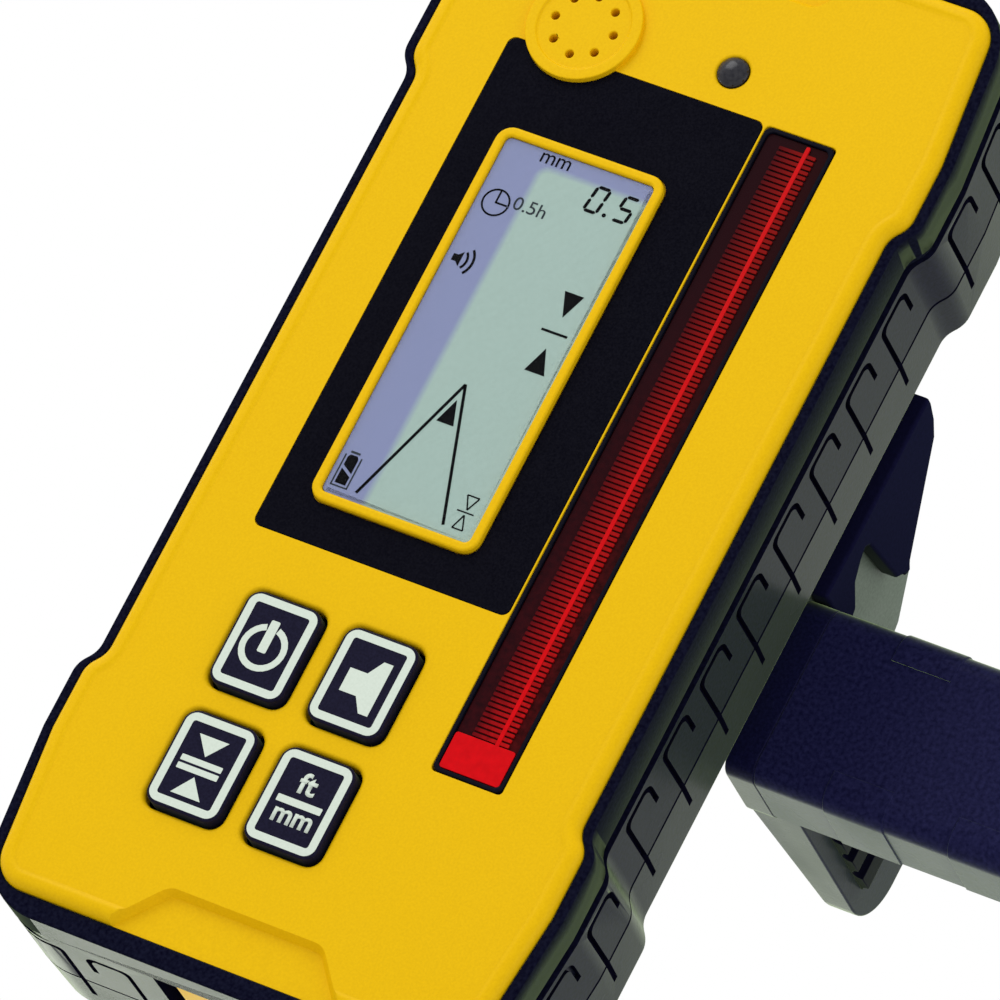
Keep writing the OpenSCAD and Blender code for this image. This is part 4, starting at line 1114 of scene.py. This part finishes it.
# %% Wind the thread of the lead screw
CORE_R, THREAD_R, THREAD_LEAD, THREAD_STARTS = 2.55, 3.0, 6.0, 4
RIDGE_W, RIDGE_FOOT_R, THREAD_TURNS, THREAD_START_X = 0.9, 2.45, 8, 48.0
TIP_END_R, TIP_END_X, PLAIN_X = 2.0, 45.6, 99.5
SHAFT_STEPS, RIDGE_STEPS, WIND_GAP = 32, 24, 0.001


def open_ring(piece):
    """Delete the edge between the last and the first point of a ring."""
    enter(piece, "DESELECT")
    bpy.ops.mesh.select_mode(type="EDGE")
    leave()
    ends = {0, len(piece.data.vertices) - 1}
    for edge in piece.data.edges:
        edge.select = set(edge.vertices) == ends
    bpy.ops.object.mode_set(mode="EDIT")
    bpy.ops.mesh.delete(type="EDGE")
    leave()


def wound(points, closed, lead, turns, steps):
    """Points (x, r) as a line that is wound round the lead screw's axis, moving on by a lead each turn."""
    piece = ring_of(len(points), "NOTHING")
    for corner, (x, r) in zip(piece.data.vertices, points):
        corner.co = (x * MM, 0, r * MM)
    if not closed:
        open_ring(piece)
    winding = piece.modifiers.new("wind", "SCREW")
    winding.axis = "X"
    winding.steps = winding.render_steps = steps
    winding.screw_offset = lead * MM
    winding.iterations = turns
    winding.use_merge_vertices = lead == 0
    apply_all(piece)
    enter(piece)
    bpy.ops.mesh.remove_doubles(threshold=WIND_GAP * MM)
    bpy.ops.mesh.fill_holes(sides=0)
    face_out()
    piece.location = (0, screw_y * MM, screw_z * MM)
    return piece


end_x, far_x = screw_low.x, screw_high.x
shaft_line = [
    (end_x, 0), (end_x, TIP_END_R), (TIP_END_X, TIP_END_R), (TIP_END_X, CORE_R),
    (PLAIN_X, CORE_R), (PLAIN_X, THREAD_R), (far_x, THREAD_R), (far_x, 0),
]
ridge_line = [
    (THREAD_START_X, RIDGE_FOOT_R), (THREAD_START_X + RIDGE_W / 2, THREAD_R),
    (THREAD_START_X + RIDGE_W, RIDGE_FOOT_R),
]
thread = [wound(shaft_line, False, 0, 1, SHAFT_STEPS)]
for start in range(THREAD_STARTS):
    ridge = wound(ridge_line, True, THREAD_LEAD, THREAD_TURNS, RIDGE_STEPS)
    ridge.rotation_euler.x = 2 * math.pi * start / THREAD_STARTS
    thread.append(ridge)
for piece in thread:
    pick(piece)
    bpy.ops.object.transform_apply(location=True, rotation=True, scale=True)
stand_in(join(*thread), "lead_screw", "threaded_screw")

# %% [markdown]
# ## Marks on the display
#
# The display shows what it shows in use: an accuracy of 0.5 mm, a clock, a speaker, the two arrows with the
# line between them, the angle of the beam and a battery. Every mark is a thin slab. Straight strokes are
# drawn from point to point, arcs are cut from rings, and letters start as Blender's own font and are made a
# mesh at once.

# %% Helpers for thin marks
GLASS_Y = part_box("lcd_glass")[0].y / MM
INK_T, LETTER_GAP = 0.04, 0.001


def mark(points, surface_y):
    """A thin slab with this outline that lies on a surface at this depth."""
    return slab(points, surface_y - INK_T, surface_y)


def stroke(start, end, width):
    """Outline of a straight stroke."""
    start, end = Vector(start), Vector(end)
    along = end - start
    side = Vector((-along.y, along.x)).normalized() * width / 2
    return [tuple(point) for point in (start + side, start - side, end - side, end + side)]


def strokes(points, width):
    """Outlines of straight strokes from point to point."""
    return [stroke(start, end, width) for start, end in zip(points, points[1:])]


def arc_band(x, v, r, width, start, end, steps=24):
    """Outline of a piece of a ring, between two angles in degrees."""
    return arc(x, v, r + width / 2, start, end, steps) + arc(x, v, r - width / 2, end, start, steps)


def lettering(words, box, surface_y, bold=0.0):
    """Words as a thin mesh in a face box, with strokes fattened by a share of their height."""
    bpy.ops.object.select_all(action="DESELECT")
    bpy.ops.object.text_add()
    bpy.context.object.data.body = words
    bpy.context.object.data.offset = bold
    bpy.ops.object.convert(target="MESH")
    piece = bpy.context.object
    corners = [corner.co.copy() for corner in piece.data.vertices]
    low = Vector((min(c.x for c in corners), min(c.y for c in corners)))
    high = Vector((max(c.x for c in corners), max(c.y for c in corners)))
    for corner in piece.data.vertices:
        x = box[0] + (corner.co.x - low.x) / (high.x - low.x) * (box[1] - box[0])
        v = box[2] + (corner.co.y - low.y) / (high.y - low.y) * (box[3] - box[2])
        corner.co = (x * MM, surface_y * MM, (MID_Z + v) * MM)
    enter(piece)
    bpy.ops.mesh.remove_doubles(threshold=LETTER_GAP * MM)
    leave()
    return pulled(piece, (0, -INK_T * MM, 0))


def inked(shapes, name, finish, body="receiver"):
    """Join thin marks into one print."""
    ink = join(*shapes)
    wear(ink, finishes[finish])
    return close_piece(ink, name, body)


# %% Digits of seven segments
DIGIT_W, DIGIT_H, DIGIT_SLANT, SEGMENT_W = 2.35, 4.1, 0.14, 0.46
SEGMENT_SHOULDER, SEGMENT_TIP = 0.62, 0.14
ZERO_X, FIVE_X, DIGIT_V = -4.66, -0.31, 34.24
SEGMENTS = {
    "top": ((0, 2), (1, 2)), "middle": ((0, 1), (1, 1)), "foot": ((0, 0), (1, 0)),
    "upper_left": ((0, 1), (0, 2)), "upper_right": ((1, 1), (1, 2)),
    "lower_left": ((0, 0), (0, 1)), "lower_right": ((1, 0), (1, 1)),
}
ZERO = ("top", "foot", "upper_left", "upper_right", "lower_left", "lower_right")
FIVE = ("top", "middle", "foot", "upper_left", "lower_right")


def segment(ends, digit_x):
    """Outline of one segment with pointed ends, leaning with the digit."""
    points = [Vector((a * (DIGIT_W - SEGMENT_W), b * (DIGIT_H - SEGMENT_W) / 2)) for a, b in ends]
    along = (points[1] - points[0]).normalized()
    side = Vector((-along.y, along.x)) * SEGMENT_W / 2
    short = along * SEGMENT_W * SEGMENT_SHOULDER
    tip = along * SEGMENT_W * SEGMENT_TIP
    outline = [points[0] + tip, points[0] + short - side, points[1] - short - side,
               points[1] - tip, points[1] - short + side, points[0] + short + side]
    foot = SEGMENT_W / 2
    return [(digit_x + foot + p.x + (p.y + foot) * DIGIT_SLANT, DIGIT_V + foot + p.y) for p in outline]


signs = [segment(SEGMENTS[name], ZERO_X) for name in ZERO]
signs += [segment(SEGMENTS[name], FIVE_X) for name in FIVE]
signs.append(ring_points(-1.31, 34.59, 0.3, 12))
print("digits have", len(signs), "segments")

# %% Arrows, angle and small signs
signs += [
    [(-1.16, 22.94), (1.74, 22.94), (0.29, 19.34)],
    stroke((-1.66, 16.94), (2.24, 16.94), 0.34),
    [(-1.11, 10.84), (1.89, 10.84), (0.29, 14.54)],
    *strokes([(-14.36, -12.96), (-7.61, 6.14), (-1.06, -12.96)], 0.42),
    [(-8.96, 0.14), (-6.36, 0.14), (-7.66, 3.74)],
    arc_band(-16.16, 31.29, 1.9, 0.26, 0, 358),
    stroke((-16.16, 31.29), (-16.16, 33.04), 0.26),
    stroke((-16.26, 31.29), (-14.46, 31.29), 0.26),
    [(-18.06, 21.74), (-17.36, 21.74), (-16.76, 21.14), (-16.76, 23.34), (-17.36, 22.74), (-18.06, 22.74)],
    arc_band(-17.66, 22.24, 1.75, 0.34, -42, 42),
    arc_band(-17.66, 22.24, 2.65, 0.36, -42, 42),
    *strokes([(0.14, -7.96), (1.94, -7.96), (1.04, -9.96), (0.14, -7.96)], 0.2),
    stroke((-0.26, -10.36), (2.24, -10.36), 0.2),
    *strokes([(0.24, -12.86), (1.84, -12.86), (1.04, -10.76), (0.24, -12.86)], 0.2),
]
battery_line = [
    (-17.86, -12.56), (-16.26, -12.56), (-16.26, -8.66),
    (-16.56, -8.26), (-17.56, -8.26), (-17.86, -8.66),
]
battery = mark(battery_line, GLASS_Y)
cut(battery, slab(stroke((-18.66, -9.66), (-15.56, -11.46), 0.42), GLASS_Y - OVER, GLASS_Y + OVER))
marks = [mark(sign, GLASS_Y) for sign in signs]
marks += [lettering("mm", (-13.36, -8.96, 38.74, 40.14), GLASS_Y), battery]
inked(marks, "display_marks", "display_ink")

# %% Grey marks
grey_signs = [
    stroke((-18.26, -12.96), (-18.26, -8.36), 0.2),
    stroke((-15.86, -12.96), (-15.86, -8.36), 0.2),
    stroke((-18.36, -12.96), (-15.76, -12.96), 0.2),
    stroke((-17.76, -7.86), (-16.36, -7.86), 0.3),
]
grey_marks = [lettering("0.5h", (-13.76, -8.96, 31.24, 33.14), GLASS_Y)]
grey_marks += [mark(sign, GLASS_Y) for sign in grey_signs]
inked(grey_marks, "display_grey_marks", "display_grey_ink")

# %% [markdown]
# ## The receiving window
#
# Behind the red front a row of fine cross ribs spreads the beam over the diodes, with one bright line along
# it. The lens body is a slab set back a little. One rib is modelled and copied up the window by an Array
# modifier, and the bright foot of the lens and the line stand on the same body.

# %% Make the red lens
LENS_SINK, LENS_R, LENS_ROUND, LENS_STEPS = 0.3, 0.4, 0.1, 2
CORNER_STEPS, OVERLAP = 3, 0.05
lens_box = face_box("window_lens")
lens_back_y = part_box("window_lens")[1].y / MM
lens = slab(rounded(*lens_box, LENS_R, CORNER_STEPS), FACE_Y + LENS_SINK, lens_back_y)
round_edges(lens, LENS_ROUND, LENS_STEPS)
stand_in(lens, "window_lens", "lens_body")

# %% Copy one rib up the window
RIB_PITCH, RIB_T, RIB_X, LENS_FOOT = 0.76, 0.48, (16.4, 21.9), 5.6
RIB_SINK, RIB_R, RIB_STEPS, TOP_SPARE = 0.06, 0.12, 2, 0.6
rib_foot = lens_box[2] + LENS_FOOT
rib_count = int((lens_box[3] - rib_foot - TOP_SPARE) / RIB_PITCH)
rib_line = rounded(*RIB_X, rib_foot, rib_foot + RIB_T, RIB_R, RIB_STEPS)
rib = slab(rib_line, FACE_Y + RIB_SINK, FACE_Y + LENS_SINK + OVERLAP)
row = rib.modifiers.new("row", "ARRAY")
row.count = rib_count
row.use_relative_offset = False
row.use_constant_offset = True
row.constant_offset_displace = (0, 0, RIB_PITCH * MM)
apply_all(rib)
stand_in(rib, "window_lens", "lens_ribs", finishes["red_ribs"])
print("window has", rib_count, "ribs")

# %% Bright line and foot of the lens
LINE_X, LINE_END, LINE_R = (20.0, 20.6), 0.3, 0.2
FOOT_EDGE, FOOT_TOP, FOOT_SINK, BRIGHT_ROUND = 0.1, 0.2, 0.02, 0.06
line_box = (*LINE_X, rib_foot - LINE_END, lens_box[3] - LINE_END)
foot_box = (lens_box[0] + FOOT_EDGE, lens_box[1] - FOOT_EDGE, lens_box[2] + FOOT_EDGE, rib_foot - FOOT_TOP)
bright_line = slab(rounded(*line_box, LINE_R, RIB_STEPS), FACE_Y, FACE_Y + LENS_SINK)
bright_foot = slab(
    rounded(*foot_box, LENS_R, CORNER_STEPS), FACE_Y + FOOT_SINK, FACE_Y + LENS_SINK + OVERLAP)
bright = join(bright_foot, bright_line)
round_edges(bright, BRIGHT_ROUND, LENS_STEPS)
stand_in(bright, "window_lens", "lens_bright", finishes["red_bright"])

# %% [markdown]
# ## Keys and their prints
#
# Each key is a rubber cap with a white frame and a sign: power, sound, accuracy and units. The prints ride
# on the key's own body, so they go in when the key is pressed. A frame is a thin slab with a smaller one
# cut out.

# %% Make the caps and print their frames
FRAME_W, FRAME_INSET, FRAME_R, FRAME_INNER_R, CAP_ROUND = 1.12, 0.4, 1.6, 0.4, 0.35
KEY_Y = RIM_Y
key_prints = {}
for key in KEYS:
    cap = slab(rounded(*cap_box(key), KEY_R), KEY_Y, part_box(key)[1].y / MM)
    round_edges_where(cap, at_depth(KEY_Y), CAP_ROUND)
    stand_in(cap, key, "cap_" + key)
    outer = grown(cap_box(key), -FRAME_INSET)
    inner = rounded(*grown(outer, -FRAME_W), FRAME_INNER_R, CORNER_STEPS)
    border = mark(rounded(*outer, FRAME_R), KEY_Y)
    cut(border, slab(inner, KEY_Y - OVER, KEY_Y + OVER))
    key_prints[key] = [border]

# %% Signs on the keys
KEY_BOLD = 0.025
key_signs = {
    "key_power": [
        arc_band(-15.46, -37.36, 2.95, 0.9, 107, 433),
        rounded(-16.11, -14.81, -38.06, -33.36, 0.2, 2),
    ],
    "key_sound": [[
        (-2.96, -35.66), (-0.36, -35.66), (1.04, -33.46), (2.44, -33.46),
        (2.44, -41.16), (1.04, -41.16), (-0.36, -39.06), (-2.96, -39.06),
    ]],
    "key_accuracy": [
        [(-17.71, -51.16), (-13.21, -51.16), (-15.46, -53.96)],
        rounded(-18.56, -12.36, -55.36, -54.51, 0.1, 2),
        rounded(-18.56, -12.36, -56.56, -55.71, 0.1, 2),
        [(-17.61, -59.91), (-13.11, -59.91), (-15.46, -57.01)],
    ],
    "key_units": [rounded(-3.66, 3.04, -55.91, -54.91, 0.1, 2)],
}
key_prints["key_units"] += [
    lettering("ft", (-1.76, 0.94, -54.06, -50.96), KEY_Y, KEY_BOLD),
    lettering("mm", (-3.16, 2.64, -58.66, -56.66), KEY_Y, KEY_BOLD),
]
for key, shapes in key_prints.items():
    shapes += [mark(sign, KEY_Y) for sign in key_signs[key]]
    inked(shapes, "print_" + key, "key_print", body_of_node[key])
